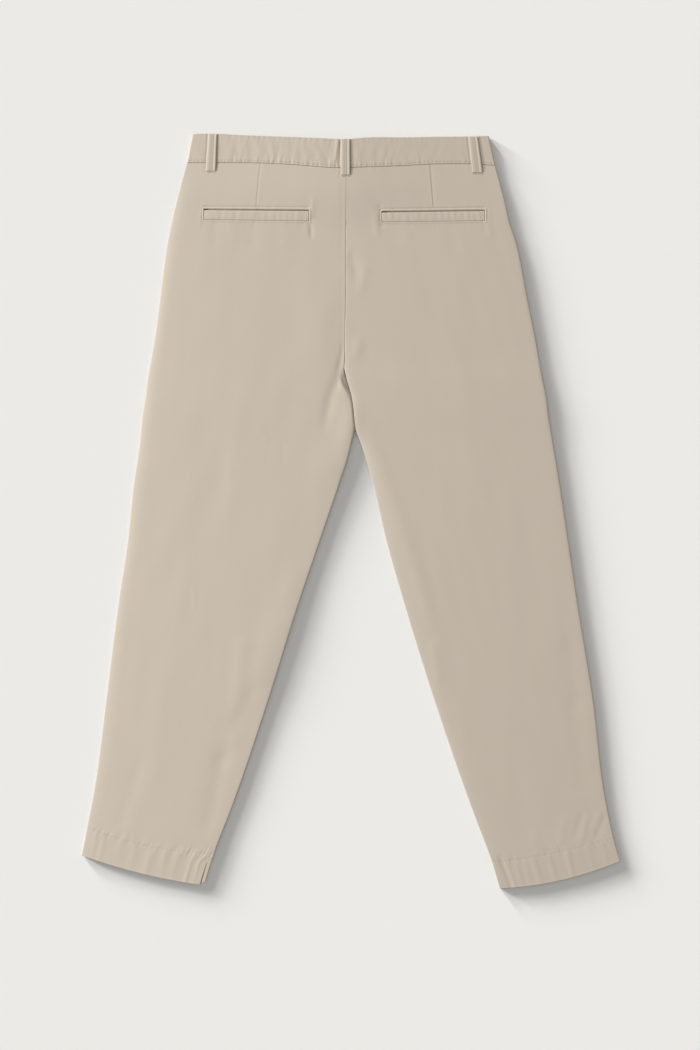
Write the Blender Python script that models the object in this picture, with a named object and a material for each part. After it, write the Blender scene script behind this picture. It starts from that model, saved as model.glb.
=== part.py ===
"""Chino trousers laid flat on their front, with the seat side up.

Sizes are in millimetres until a point is placed. A point is given by x, to the right of
the centre back seam, by drop, down the garment from the top of the waist, and by height
above the surface that the trousers lie on. The waist points to +Y.
"""

from collections import namedtuple
import math

import bmesh
import bpy
import numpy as np
from mathutils import Vector

MM = 0.001

# Driving sizes
LENGTH = 1044.7            # from the top of the waist to the lower of the two hems
MIDDLE_X = 8.2             # where the middle of the splayed legs lies
CLOTH = 1.2                # wall of one panel
HEM_CLOTH = 2.2            # panel and its turned-up hem
HEM_CLEAR = 8.0            # the back rises over the front's hem this far above it
WAIST_CLOTH = 2.0          # waistband, two layers and their stiffening
GAP = 0.3                  # air between pieces that are sewn or lie together
EDGE_CLOTH = 0.6           # share of the wall left where an edge rounds off
EDGE_ROUND = 1.2           # how far in from an edge the wall is full again

WAIST_SLANT = (7.6, 6.5)   # how much wider the waistband is at its foot, left and right
WAIST_PITCH = 4.6          # columns of the waistband across the back
WAIST_FADE = 55.0          # how far down the back panel the waistband still lifts it
DIP_FADE = 200.0           # how far down the front panel its waist curve is felt
FRONT_DIP = 15.0           # how much lower the waist lies at centre front
FRONT_INSET = 0.5          # front panels stay this far inside the back ones

LOOP_CLOTH = 1.3
LOOP_RIM = 0.3             # raised edges of a belt loop
FRONT_LOOP_X = 95.0
FRONT_LOOP_WIDTH = 13.0
FRONT_LOOP_TAIL = 10.0     # how far a loop reaches below the waistband
LOOP_SLOPE_FRONT = 10.0    # over what width the cloth beside a loop comes down again
LOOP_SLOPE_BACK = 16.0
TAIL_CLEAR = 8.0           # the panel stays lifted this far past a loop's tail
TAIL_SLOPE = 12.0

BUTTON_RADIUS = 7.5
BUTTON_THICK = 1.8
BUTTON_RIM = 1.8
BUTTON_DISH = 0.4
BUTTON_SLOPE_FRONT = 22.0
BUTTON_SLOPE_BACK = 32.0
FLY_OVERLAP = 22.0         # how far each end of the waistband passes centre front
FLY_WIDTH = 40.0
FLY_LENGTH = 165.0
FLY_CLOTH = 1.0
FLY_NARROW = 0.35          # share of its width that the fly shield loses at its foot
FLY_SLOPE_FRONT = 25.0
FLY_SLOPE_BACK = 34.0

FRONT_POCKET_WIDTH = 45.0  # front pocket mouth, from the side seam along the waist
FRONT_POCKET_LENGTH = 165.0

WELT_CROWN = 0.25          # how far a welt stands above its panel
WELT_TUCK = 0.5            # how far it reaches below the panel's inner side
WELT_MOUTH = 0.9           # open mouth above the welt

SEAM_BAND = 16.0           # width of the pressed seam allowance inside a side seam
SEAM_BAND_RISE = 0.45
SEAM_BAND_EDGE = 8.0       # over what width the band steps down
STITCH_DENT = 0.4          # how deep the hem's stitching sinks
STITCH_DENT_WIDTH = 1.8
OUTER_ROLL = 5.0           # over how much width a side edge rises to full height
MOST_SLACK = 3.7           # most air between front and back

# Stations down one leg. A row joins a point on the outer side with one on the inner
# side, the centre back seam above the fork and the inseam below it. bow is the sag of
# the row between them, loft the air under the back panel, fall the share of the loft
# lost at the inner edge, and roll the width over which it is lost.
Row = namedtuple("Row", "station outer_x outer_drop inner_x inner_drop bow loft fall roll steps")

LEFT_ROWS = (
    Row("waist", -218.8, 40.2, 1.7, 46.0, 0.0, 0.2, 0.10, 3.0, 4),
    Row("pocket_mouth", -235.5, 103.6, 1.7, 106.1, 0.0, 1.9, 0.30, 3.0, 1),
    Row("pocket_foot", -239.1, 117.3, 1.5, 121.0, 0.0, 2.1, 0.30, 3.0, 2),
    Row("hip", -245.3, 149.6, 1.4, 152.4, 0.0, 2.3, 0.30, 3.0, 3),
    Row("seat", -256.2, 229.9, 1.1, 234.1, 0.0, 2.5, 0.30, 3.0, 2),
    Row("low_seat", -262.3, 277.0, -0.3, 281.2, 0.0, 2.4, 0.35, 3.0, 2),
    Row("fork", -269.3, 318.0, -4.6, 323.5, 0.0, 2.3, 0.50, 4.0, 2),
    Row("slit", -272.8, 337.0, -0.8, 341.3, 0.0, 2.3, 0.80, 5.0, 3),
    Row("slit_end", -276.0, 362.9, 8.3, 365.1, 0.0, 2.3, 0.80, 5.0, 2),
    Row("closed", -280.5, 393.3, 12.6, 396.1, 0.0, 2.3, 0.80, 5.0, 1),
    Row("parting", -282.1, 408.6, 12.9, 408.6, 0.0, 2.3, 0.90, 5.0, 2),
    Row("inner_thigh", -284.1, 429.4, 8.6, 429.4, 0.0, 2.2, 1.00, 6.0, 1),
    Row("gusset", -286.4, 446.0, 4.2, 447.4, 0.0, 2.2, 1.00, 6.0, 1),
    Row("thigh", -291.6, 479.2, -6.9, 482.0, 0.0, 2.1, 1.00, 6.0, 3),
    Row("mid_thigh", -300.5, 562.3, -35.6, 566.5, 0.5, 2.0, 1.00, 6.0, 3),
    Row("knee", -313.0, 645.4, -65.1, 653.7, 1.0, 1.8, 1.00, 6.0, 4),
    Row("calf", -330.6, 783.9, -110.4, 797.8, 2.0, 1.5, 1.00, 6.0, 4),
    Row("ankle", -347.6, 911.3, -157.9, 936.3, 4.0, 1.2, 1.00, 6.0, 2),
    Row("hem_stitch", -356.9, 959.8, -188.6, 996.6, 8.0, 0.8, 1.00, 5.0, 3),
    Row("hem", -364.5, 998.6, -200.1, 1037.9, 4.3, 0.5, 1.00, 4.0, 0),
)

RIGHT_ROWS = (
    Row("waist", 208.0, 42.7, 1.7, 46.0, 0.0, 0.2, 0.10, 3.0, 4),
    Row("pocket_mouth", 223.8, 105.0, 1.7, 108.3, 0.0, 1.9, 0.30, 3.0, 1),
    Row("pocket_foot", 227.1, 119.3, 1.5, 121.9, 0.0, 2.1, 0.30, 3.0, 2),
    Row("hip", 236.6, 149.6, 1.4, 152.4, 0.0, 2.3, 0.30, 3.0, 3),
    Row("seat", 252.8, 229.9, 1.1, 234.1, 0.0, 2.5, 0.30, 3.0, 2),
    Row("low_seat", 262.3, 277.0, -0.3, 281.2, 0.0, 2.4, 0.35, 3.0, 2),
    Row("fork", 269.6, 318.0, -4.6, 323.5, 0.0, 2.4, 0.35, 3.0, 2),
    Row("slit", 273.0, 337.0, 1.9, 341.3, 0.0, 2.6, 0.25, 2.5, 3),
    Row("slit_end", 278.4, 362.9, 10.1, 365.1, 0.0, 2.7, 0.25, 2.5, 2),
    Row("closed", 282.3, 393.3, 13.2, 396.1, 0.0, 2.6, 0.40, 3.0, 1),
    Row("parting", 284.8, 408.6, 15.4, 408.6, 0.0, 2.5, 0.80, 4.0, 2),
    Row("inner_thigh", 288.1, 429.4, 22.2, 429.4, 0.0, 2.4, 1.00, 5.0, 1),
    Row("gusset", 290.9, 446.0, 28.0, 447.4, 0.0, 2.3, 1.00, 6.0, 1),
    Row("thigh", 296.4, 479.2, 38.2, 482.0, 0.0, 2.1, 1.00, 6.0, 3),
    Row("mid_thigh", 308.9, 562.3, 58.2, 566.5, 0.5, 2.0, 1.00, 6.0, 3),
    Row("knee", 321.3, 645.4, 83.1, 653.7, 1.0, 1.8, 1.00, 6.0, 4),
    Row("calf", 343.5, 783.9, 128.4, 797.8, 2.0, 1.5, 1.00, 6.0, 4),
    Row("ankle", 359.7, 915.5, 176.6, 936.3, 3.0, 1.2, 1.00, 6.0, 2),
    Row("hem_stitch", 371.9, 975.0, 208.5, 1008.5, 4.0, 0.8, 1.00, 5.0, 3),
    Row("hem", 380.9, 1006.9, 221.6, 1044.7, 6.6, 0.5, 1.00, 4.0, 0),
)

# Near the hem the front wraps round the inseam and shows beside the back.
Reach = namedtuple("Reach", "drop left_x left_drop right_x right_drop")
FRONT_REACH = (
    Reach(920.0, 0.0, 0.0, 0.0, 0.0),
    Reach(950.0, 8.0, -1.5, -6.0, -1.0),
    Reach(975.0, 9.0, -2.5, -7.5, -2.0),
    Reach(1006.9, 9.7, -4.2, -7.5, 0.0),
)

# Places of the back pocket, the dart and the front belt loop beneath, as shares of the
# way from the outer to the inner edge.
Marks = namedtuple(
    "Marks", "pocket_start pocket_end dart_at_waist dart_at_pocket loop_at_waist loop_at_pocket"
)
LEFT_MARKS = Marks(0.169, 0.780, 0.464, 0.476, 0.562, 0.592)
RIGHT_MARKS = Marks(0.130, 0.782, 0.437, 0.455, 0.548, 0.580)
DART_HALF = 2.6

# Folds: soft troughs, with a negative height, and soft ridges, along a straight line.
Fold = namedtuple("Fold", "name x0 drop0 x1 drop1 width height")
FOLDS = (
    Fold("dart_left", -116.6, 40.0, -122.7, 99.0, 1.8, -0.8),
    Fold("dart_right", 117.9, 42.0, 122.7, 101.0, 1.8, -0.8),
    Fold("seat_trough", 6.9, 168.0, 18.0, 209.0, 7.0, -0.6),
    Fold("seat_ridge", 27.7, 188.0, 22.2, 216.0, 7.0, 0.4),
    Fold("fork_trough_top", -6.9, 292.0, -9.0, 322.0, 6.0, -0.9),
    Fold("fork_trough", -9.0, 322.0, -25.8, 372.6, 8.0, -1.0),
    Fold("fork_trough_foot", -25.8, 372.6, -32.0, 408.0, 9.0, -0.8),
    Fold("fork_bulge", -2.0, 350.0, -4.0, 425.0, 9.0, 1.3),
    Fold("fork_bump_right", 17.2, 293.6, 18.0, 300.0, 8.0, 0.6),
    Fold("thigh_ridge_right", 34.6, 413.0, 117.7, 673.0, 10.0, 0.7),
    Fold("calf_trough_right", 311.6, 715.0, 322.7, 784.0, 13.0, -0.5),
    Fold("calf_ridge_left", -142.7, 709.0, -155.9, 839.0, 10.0, 0.6),
    Fold("inseam_trough_left", -151.0, 812.0, -171.0, 868.0, 9.0, -0.7),
    Fold("inseam_trough_foot", -171.0, 868.0, -188.0, 955.0, 8.0, -0.7),
    Fold("hem_crease_right", 359.5, 947.0, 348.0, 972.0, 5.0, -0.5),
    Fold("hem_crease_inner", 327.0, 947.0, 320.0, 970.0, 6.0, -0.4),
    Fold("pocket_fold_1", -180.0, 124.0, -180.0, 150.0, 7.0, -0.4),
    Fold("pocket_fold_2", -156.5, 124.0, -154.0, 148.0, 6.0, 0.4),
    Fold("pocket_fold_3", -130.0, 124.0, -128.0, 152.0, 8.0, -0.4),
    Fold("pocket_fold_4", -84.5, 124.0, -82.0, 148.0, 8.0, 0.4),
    Fold("pocket_corner_left", -48.5, 121.0, -47.0, 140.0, 3.5, -0.6),
    Fold("pocket_corner_right", 48.0, 103.0, 51.0, 127.0, 3.5, -0.6),
    Fold("pocket_fold_5", 84.0, 126.0, 86.0, 150.0, 8.0, 0.4),
    Fold("pocket_fold_6", 152.0, 126.0, 152.0, 152.0, 8.0, -0.4),
)

# The waistband across the back, point by point.
Edge = namedtuple("Edge", "x top foot")
WAISTBAND_EDGES = (
    Edge(-218.8, 1.6, 40.2),
    Edge(-200.8, 0.3, 40.2),
    Edge(-131.6, 2.8, 40.6),
    Edge(-51.2, 6.0, 43.6),
    Edge(0.0, 8.3, 46.0),
    Edge(31.9, 5.7, 45.2),
    Edge(76.0, 5.5, 43.8),
    Edge(131.6, 4.4, 41.6),
    Edge(173.1, 3.9, 41.1),
    Edge(208.0, 2.8, 42.7),
)

# Upright ripples in the waistband.
Ripple = namedtuple("Ripple", "x width height")
RIPPLES = (
    Ripple(-157.0, 5.0, 0.25),
    Ripple(-140.0, 5.0, 0.30),
    Ripple(-116.0, 5.0, 0.30),
    Ripple(-89.0, 5.0, 0.30),
    Ripple(-60.0, 5.5, 0.35),
    Ripple(-36.0, 5.0, 0.30),
    Ripple(-13.0, 4.0, 0.60),
    Ripple(24.0, 5.0, 0.25),
    Ripple(45.0, 5.0, 0.20),
    Ripple(70.0, 6.0, 0.20),
)

# Belt loops on the back: middle of the top and of the foot, and the two widths.
Loop = namedtuple("Loop", "name top_x top_drop top_width foot_x foot_drop foot_width")
BACK_LOOPS = (
    Loop("belt_loop_back_left", -183.2, 0.7, 13.0, -186.0, 51.8, 14.0),
    Loop("belt_loop_back_centre", 0.7, 8.2, 12.6, 0.7, 57.8, 12.6),
    Loop("belt_loop_back_right", 177.2, 4.4, 13.0, 183.2, 54.0, 14.0),
)

# Columns of a front panel: distances from its belt loop, and lower down shares of its
# width.
FRONT_LOOP_COLUMNS = (-16.0, -7.0, 7.0, 16.0)
FRONT_LEG_COLUMNS = (0.30, 0.42, 0.54, 0.66)

# Share of the height, and share of the edge's rounding undone, down the waistband.
WAIST_SECTION = ((0.0, 0.0), (0.03, 1.0), (0.35, 1.0), (0.65, 1.0), (0.97, 1.0), (1.0, 0.0))

# Columns of the front waistband beside its belt loop, and the angles of its side fold.
BAND_LOOP_COLUMNS = (17.0, 11.0, 6.0, 0.0, -6.0, -11.0, -17.0)
SIDE_FOLD_ANGLES = (60.0, 30.0, 0.0, -30.0, -60.0)

# Share of the length down a belt loop, closest where it steps off the waistband.
LOOP_STATIONS = (0.0, 0.025, 0.25, 0.5, 0.72, 0.79, 0.84, 0.90, 0.975, 1.0)

# Share of the depth down a welt, and share of its crown.
WELT_SECTION = ((0.0, -0.4), (0.1, 0.8), (0.5, 1.0), (0.9, 0.8), (1.0, -0.4))

# Share of the width, and share of the rim's rise, across a belt loop.
LOOP_SECTION = ((-1.0, -2.0), (-0.86, 1.0), (-0.45, 0.0), (0.45, 0.0), (0.86, 1.0), (1.0, -2.0))

KHAKI = (0.545, 0.485, 0.395)
KHAKI_DARK = (0.515, 0.455, 0.368)
HORN = (0.33, 0.25, 0.17)


def place(x, drop, height):
    """Give the world position of a point of the garment."""
    return Vector(((x - MIDDLE_X) * MM, (LENGTH / 2.0 - drop) * MM, height * MM))


def smooth(at, knots, values):
    """Read a smooth curve through the values at the knots."""
    slopes = np.gradient(values, knots)
    index = int(np.clip(np.searchsorted(knots, at) - 1, 0, len(knots) - 2))
    step = knots[index + 1] - knots[index]
    share = (at - knots[index]) / step
    square, cube = share ** 2, share ** 3
    start = (2.0 * cube - 3.0 * square + 1.0) * values[index]
    start_slope = (cube - 2.0 * square + share) * step * slopes[index]
    end = (3.0 * square - 2.0 * cube) * values[index + 1]
    end_slope = (cube - square) * step * slopes[index + 1]
    return float(start + start_slope + end + end_slope)


def ease(value):
    """Turn 0 to 1 into a soft start and a soft stop."""
    share = min(max(value, 0.0), 1.0)
    return 0.5 - 0.5 * math.cos(math.pi * share)


def hill(distance, flat, slope):
    """Give 1 on a flat top, and 0 past the slope on each side of it."""
    return 1.0 - ease((abs(distance) - flat) / slope)


def fold_height(x, drop):
    """Add up the folds near a point, each fading away from its line."""
    total = 0.0
    for fold in FOLDS:
        along_x = fold.x1 - fold.x0
        along_drop = fold.drop1 - fold.drop0
        length_square = along_x ** 2 + along_drop ** 2
        share = ((x - fold.x0) * along_x + (drop - fold.drop0) * along_drop) / length_square
        share = min(max(share, 0.0), 1.0)
        away = math.hypot(x - fold.x0 - share * along_x, drop - fold.drop0 - share * along_drop)
        total += fold.height * math.exp(-((away / fold.width) ** 2))
    return total


def ripple_height(x):
    """Add up the ripples of the waistband at one place along it."""
    return sum(ripple.height * math.exp(-(((x - ripple.x) / ripple.width) ** 2)) for ripple in RIPPLES)


def waist_top(x):
    """Give the drop of the waistband's top edge across the back."""
    return smooth(x, [edge.x for edge in WAISTBAND_EDGES], [edge.top for edge in WAISTBAND_EDGES])


def waist_foot(x):
    """Give the drop of the waistband's lower edge across the back."""
    return smooth(x, [edge.x for edge in WAISTBAND_EDGES], [edge.foot for edge in WAISTBAND_EDGES])


def front_dip(x):
    """Give how much lower the waist of the front lies than that of the back."""
    side = WAISTBAND_EDGES[0].x if x < 0.0 else WAISTBAND_EDGES[-1].x
    return FRONT_DIP * max(1.0 - (x / side) ** 2, 0.0)


def loop_lift(x, slope):
    """Give how much the cloth over a front belt loop is lifted."""
    return (LOOP_CLOTH + GAP) * hill(abs(x) - FRONT_LOOP_X, FRONT_LOOP_WIDTH / 2.0 + 1.0, slope)


def button_lift(x, slope):
    """Give how much the waistband over the button is lifted."""
    return (BUTTON_THICK + GAP) * hill(x, BUTTON_RADIUS + 1.5, slope)


def band_low_front_left(x):
    """Give the underside of the front waistband's left half."""
    return loop_lift(x, LOOP_SLOPE_FRONT) + button_lift(x, BUTTON_SLOPE_FRONT)


def band_low_front_right(x):
    """Give the underside of the right half, which passes over the left one."""
    over = (WAIST_CLOTH + GAP) * (1.0 - ease((x - FLY_OVERLAP - 2.0) / FLY_SLOPE_FRONT))
    return loop_lift(x, LOOP_SLOPE_FRONT) + button_lift(x, BUTTON_SLOPE_FRONT) + over


def front_stack(x):
    """Give how much the loops, the button and the lapped fly lift the back."""
    over = (WAIST_CLOTH + GAP) * hill(x, FLY_OVERLAP + 3.0, FLY_SLOPE_BACK)
    return loop_lift(x, LOOP_SLOPE_BACK) + button_lift(x, BUTTON_SLOPE_BACK) + over


def band_low_back(x):
    """Give the underside of the waistband across the back."""
    return WAIST_CLOTH + GAP + front_stack(x) + ripple_height(x)


class Leg:
    """One leg with its half of the seat: where its points lie and how high."""

    def __init__(self, side, rows, marks):
        self.side = side
        self.sign = -1.0 if side == "left" else 1.0
        self.rows = rows
        self.marks = marks
        self.knots = [row.outer_drop for row in rows]
        self.fork = [row.station for row in rows].index("fork")

    def read(self, level, column):
        """Give one column of the rows at any level down the leg.

        The inner edge is two curves, the centre back seam and then the inseam.
        """
        first, last = 0, len(self.rows)
        if column.startswith("inner") and level <= self.knots[self.fork]:
            last = self.fork + 1
        elif column.startswith("inner"):
            first = self.fork
        values = [getattr(row, column) for row in self.rows[first:last]]
        return smooth(level, self.knots[first:last], values)

    def level_of(self, station):
        """Give the level of a named row."""
        return next(row.outer_drop for row in self.rows if row.station == station)

    def levels(self):
        """Give the levels of all rows and of the steps between them."""
        found = [self.rows[-1].outer_drop]
        for row, following in zip(self.rows, self.rows[1:]):
            span = following.outer_drop - row.outer_drop
            found += [row.outer_drop + span * step / row.steps for step in range(row.steps)]
        stitch = self.level_of("hem_stitch")
        return sorted(found + [stitch - 2.0 * STITCH_DENT_WIDTH, stitch + 2.0 * STITCH_DENT_WIDTH])

    def width(self, level):
        """Give the width of the leg along the row at a level."""
        across = self.read(level, "inner_x") - self.read(level, "outer_x")
        return math.hypot(across, self.read(level, "inner_drop") - level)

    def point(self, level, share):
        """Give x and drop at a level, share of the way from outer to inner edge."""
        inner_x = self.read(level, "inner_x") + self.sign * GAP / 2.0
        inner_drop = self.read(level, "inner_drop")
        outer_x = self.read(level, "outer_x")
        x = outer_x + (inner_x - outer_x) * share
        drop = level + (inner_drop - level) * share
        drop += self.read(level, "bow") * 4.0 * share * (1.0 - share)
        return x, drop + self.waist_shift(level, x, share)

    def waist_shift(self, level, x, share):
        """Bend the rows near the waist to the waistband's lower edge."""
        waist = self.rows[0]
        fade = 1.0 - ease((level - waist.outer_drop) / (self.rows[1].outer_drop - waist.outer_drop))
        straight = waist.outer_drop + (waist.inner_drop - waist.outer_drop) * share
        return fade * (waist_foot(x) + GAP - straight)

    def locate(self, x, drop):
        """Give the level and the share of the point at x and drop."""
        level = drop
        for _ in range(6):
            outer_x = self.read(level, "outer_x")
            share = (x - outer_x) / (self.read(level, "inner_x") - outer_x)
            level = max(level - (self.point(level, share)[1] - drop), self.knots[0])
        return level, share

    def wall(self, level):
        """Give the wall's thickness, which grows at the stitched hem."""
        stitch = self.level_of("hem_stitch")
        return CLOTH + (HEM_CLOTH - CLOTH) * ease((level - stitch) / 4.0)

    def back_heights(self, level, share):
        """Give the heights of the back panel's inner and outer side."""
        x, drop = self.point(level, share)
        width = self.width(level)
        from_outer = share * width
        from_inner = (1.0 - share) * width
        waist_fade = 1.0 - ease((drop - waist_foot(x) - FRONT_DIP - 4.0) / WAIST_FADE)
        rest = self.wall(level + HEM_CLEAR) + GAP + (WAIST_CLOTH - CLOTH) * waist_fade
        outer_rise = 1.0 - math.exp(-from_outer / OUTER_ROLL)
        inner_rise = 1.0 - self.read(level, "fall") * math.exp(-from_inner / self.read(level, "roll"))
        slack = self.read(level, "loft") * outer_rise * inner_rise
        slack += SEAM_BAND_RISE * outer_rise * (1.0 - ease((from_outer - SEAM_BAND) / SEAM_BAND_EDGE))
        slack += fold_height(x, drop) * outer_rise
        from_stitch = level - self.level_of("hem_stitch")
        slack -= STITCH_DENT * math.exp(-((from_stitch / STITCH_DENT_WIDTH) ** 2))
        low = rest + min(max(slack, 0.0), MOST_SLACK) + front_stack(x) * waist_fade
        edge = min(from_outer / EDGE_ROUND, from_inner / EDGE_ROUND, 1.0)
        thick = self.wall(level) * (EDGE_CLOTH + (1.0 - EDGE_CLOTH) * edge)
        return low, low + thick


LEGS = (Leg("left", LEFT_ROWS, LEFT_MARKS), Leg("right", RIGHT_ROWS, RIGHT_MARKS))


def make_material(name, colour, roughness):
    """Give a piece its own Principled material."""
    material = bpy.data.materials.new(name)
    material.use_nodes = True
    shader = material.node_tree.nodes["Principled BSDF"]
    shader.inputs["Base Color"].default_value = (*colour, 1.0)
    shader.inputs["Roughness"].default_value = roughness
    shader.inputs["Metallic"].default_value = 0.0
    return material


def add_object(name, bm, colour, roughness=0.9):
    """Turn a bmesh into a named object with its own material, shaded smooth."""
    mesh = bpy.data.meshes.new(name)
    bmesh.ops.recalc_face_normals(bm, faces=bm.faces)
    bm.to_mesh(mesh)
    bm.free()
    mesh.materials.append(make_material(name, colour, roughness))
    mesh.shade_smooth()
    mesh.set_sharp_from_angle(angle=math.radians(40.0))
    piece = bpy.data.objects.new(name, mesh)
    bpy.context.collection.objects.link(piece)
    return piece


def add_wall(name, inner, outer, colour, is_cut=None):
    """Make a cloth wall from two grids of points, one for each side.

    is_cut tells from a row and a column whether that cell is left open.
    """
    rows, columns = len(inner), len(inner[0])
    bm = bmesh.new()
    bmesh.ops.create_grid(bm, x_segments=columns - 1, y_segments=rows - 1, size=1.0)
    bm.verts.ensure_lookup_table()
    bm.faces.ensure_lookup_table()
    across = bm.verts.layers.float_vector.new("across")
    for index, vert in enumerate(bm.verts):
        row, column = divmod(index, columns)
        vert.co = inner[row][column]
        vert[across] = outer[row][column] - inner[row][column]
    if is_cut:
        cells = [divmod(index, columns - 1) for index in range(len(bm.faces))]
        open_faces = [face for face, cell in zip(bm.faces, cells) if is_cut(*cell)]
        bmesh.ops.delete(bm, geom=open_faces, context="FACES")
    extruded = bmesh.ops.extrude_face_region(bm, geom=bm.faces[:], use_keep_orig=True)
    for vert in [item for item in extruded["geom"] if isinstance(item, bmesh.types.BMVert)]:
        vert.co = vert.co + vert[across]
    return add_object(name, bm, colour)


def panel_shares(leg, level):
    """Give the shares of the width at which a back panel has its columns."""
    width = leg.width(level)
    marks = leg.marks
    down = (level - leg.level_of("waist")) / (leg.level_of("pocket_mouth") - leg.level_of("waist"))
    down = min(down, 1.0)
    dart = marks.dart_at_waist + (marks.dart_at_pocket - marks.dart_at_waist) * down
    loop = marks.loop_at_waist + (marks.loop_at_pocket - marks.loop_at_waist) * down
    half = DART_HALF / width
    loop_half = (FRONT_LOOP_WIDTH / 2.0 + 2.0) / width
    near = [distance / width for distance in (0.0, EDGE_ROUND, 4.0, 9.0, SEAM_BAND)]
    before = np.linspace(marks.pocket_start, dart - half, 4)
    after = [dart + half, loop - loop_half, loop + loop_half]
    after += [(loop + loop_half + marks.pocket_end) / 2.0, marks.pocket_end]
    far = [1.0 - distance / width for distance in (24.0, 9.0, 4.0, EDGE_ROUND, 0.0)]
    return [*near, *before, dart, *after, *far]


def make_back(leg):
    """Make a back panel with its open pocket mouth."""
    levels = leg.levels()
    inner, outer = [], []
    for level in levels:
        inner_row, outer_row = [], []
        for share in panel_shares(leg, level):
            x, drop = leg.point(level, share)
            low, high = leg.back_heights(level, share)
            inner_row.append(place(x, drop, low))
            outer_row.append(place(x, drop, high))
        inner.append(inner_row)
        outer.append(outer_row)
    mouth_row = levels.index(leg.level_of("pocket_mouth"))
    shares = panel_shares(leg, leg.level_of("pocket_mouth"))
    first = shares.index(leg.marks.pocket_start)
    last = shares.index(leg.marks.pocket_end)

    def in_pocket(row, column):
        return row == mouth_row and first <= column < last

    return add_wall(f"back_{leg.side}", inner, outer, KHAKI, in_pocket)


def make_welt(leg):
    """Make the welt that fills the pocket opening, below its open mouth."""
    mouth = leg.level_of("pocket_mouth")
    foot = leg.level_of("pocket_foot")
    width = leg.width(mouth)
    top = mouth + WELT_MOUTH
    bottom = foot - GAP
    shares = np.linspace(leg.marks.pocket_start + GAP / width, leg.marks.pocket_end - GAP / width, 17)
    inner, outer = [], []
    for down, rise in WELT_SECTION:
        level = top + (bottom - top) * down
        inner_row, outer_row = [], []
        for share in shares:
            x, drop = leg.point(level, share)
            low, high = leg.back_heights(level, share)
            inner_row.append(place(x, drop, low - WELT_TUCK))
            outer_row.append(place(x, drop, high + WELT_CROWN * rise))
        inner.append(inner_row)
        outer.append(outer_row)
    return add_wall(f"welt_{leg.side}", inner, outer, KHAKI_DARK)


def front_reach(leg, level):
    """Give how far the front shows past the back at the inseam, as x and drop."""
    knots = [reach.drop for reach in FRONT_REACH]
    reach_x = np.interp(level, knots, [getattr(reach, f"{leg.side}_x") for reach in FRONT_REACH])
    reach_drop = np.interp(level, knots, [getattr(reach, f"{leg.side}_drop") for reach in FRONT_REACH])
    return float(reach_x), float(reach_drop)


def pocket_slant(leg, level):
    """Give how far in from the side seam the front pocket's mouth lies."""
    down = (level - leg.level_of("waist")) / FRONT_POCKET_LENGTH
    return FRONT_POCKET_WIDTH * max(1.0 - down, 0.0)


def front_edges(leg, level):
    """Give x and drop at the side edge and the inner edge of a front panel."""
    reach_x, reach_drop = front_reach(leg, level)
    outer_x, outer_drop = leg.point(level, 0.0)
    inner_x, inner_drop = leg.point(level, 1.0)
    inner_x += reach_x + leg.sign * FRONT_INSET * leg.read(level, "fall")
    return (outer_x - leg.sign * FRONT_INSET, outer_drop), (inner_x, inner_drop + reach_drop)


def front_point(leg, level, share):
    """Give x and drop on the front, share of the way from side seam to inner edge."""
    (outer_x, outer_drop), (inner_x, inner_drop) = front_edges(leg, level)
    x = outer_x + (inner_x - outer_x) * share
    drop = outer_drop + (inner_drop - outer_drop) * share
    drop += leg.read(level, "bow") * 4.0 * share * (1.0 - share)
    waist_fade = 1.0 - ease((level - leg.level_of("waist")) / DIP_FADE)
    return x, drop + front_dip(x) * waist_fade


def front_low(leg, x, drop):
    """Give the underside of a front panel, lifted only over a belt loop's tail."""
    below = drop - waist_foot(x) - front_dip(x)
    past_tail = ease((below - FRONT_LOOP_TAIL - TAIL_CLEAR) / TAIL_SLOPE)
    return loop_lift(x, LOOP_SLOPE_FRONT) * (1.0 - past_tail)


def make_front(leg):
    """Make a front panel, cut away at the slanted pocket."""
    inner, outer = [], []
    for level in leg.levels():
        (outer_x, _), (inner_x, _) = front_edges(leg, level)
        span = abs(inner_x - outer_x)
        start = (pocket_slant(leg, level) + (GAP if pocket_slant(leg, level) else 0.0)) / span
        loop_share = (abs(outer_x) - FRONT_LOOP_X) / span
        near_loop = [loop_share + distance / span for distance in FRONT_LOOP_COLUMNS]
        if level > leg.level_of("low_seat"):
            near_loop = FRONT_LEG_COLUMNS
        inner_row, outer_row = [], []
        for share in (start, start + 4.0 / span, *near_loop, 0.85, 1.0):
            x, drop = front_point(leg, level, share)
            low = front_low(leg, x, drop)
            inner_row.append(place(x, drop, low + leg.wall(level)))
            outer_row.append(place(x, drop, low))
        inner.append(inner_row)
        outer.append(outer_row)
    return add_wall(f"front_{leg.side}", inner, outer, KHAKI_DARK)


def make_pocket_side(leg):
    """Make the side piece that fills the slant of a front pocket."""
    foot = leg.level_of("waist") + FRONT_POCKET_LENGTH * 0.98
    inner, outer = [], []
    for level in np.linspace(leg.level_of("waist"), foot, 9):
        (outer_x, _), (inner_x, _) = front_edges(leg, level)
        span = abs(inner_x - outer_x)
        inner_row, outer_row = [], []
        for part in (0.0, 0.5, 1.0):
            x, drop = front_point(leg, level, part * pocket_slant(leg, level) / span)
            inner_row.append(place(x, drop, CLOTH))
            outer_row.append(place(x, drop, 0.0))
        inner.append(inner_row)
        outer.append(outer_row)
    return add_wall(f"pocket_side_{leg.side}", inner, outer, KHAKI_DARK)


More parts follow.
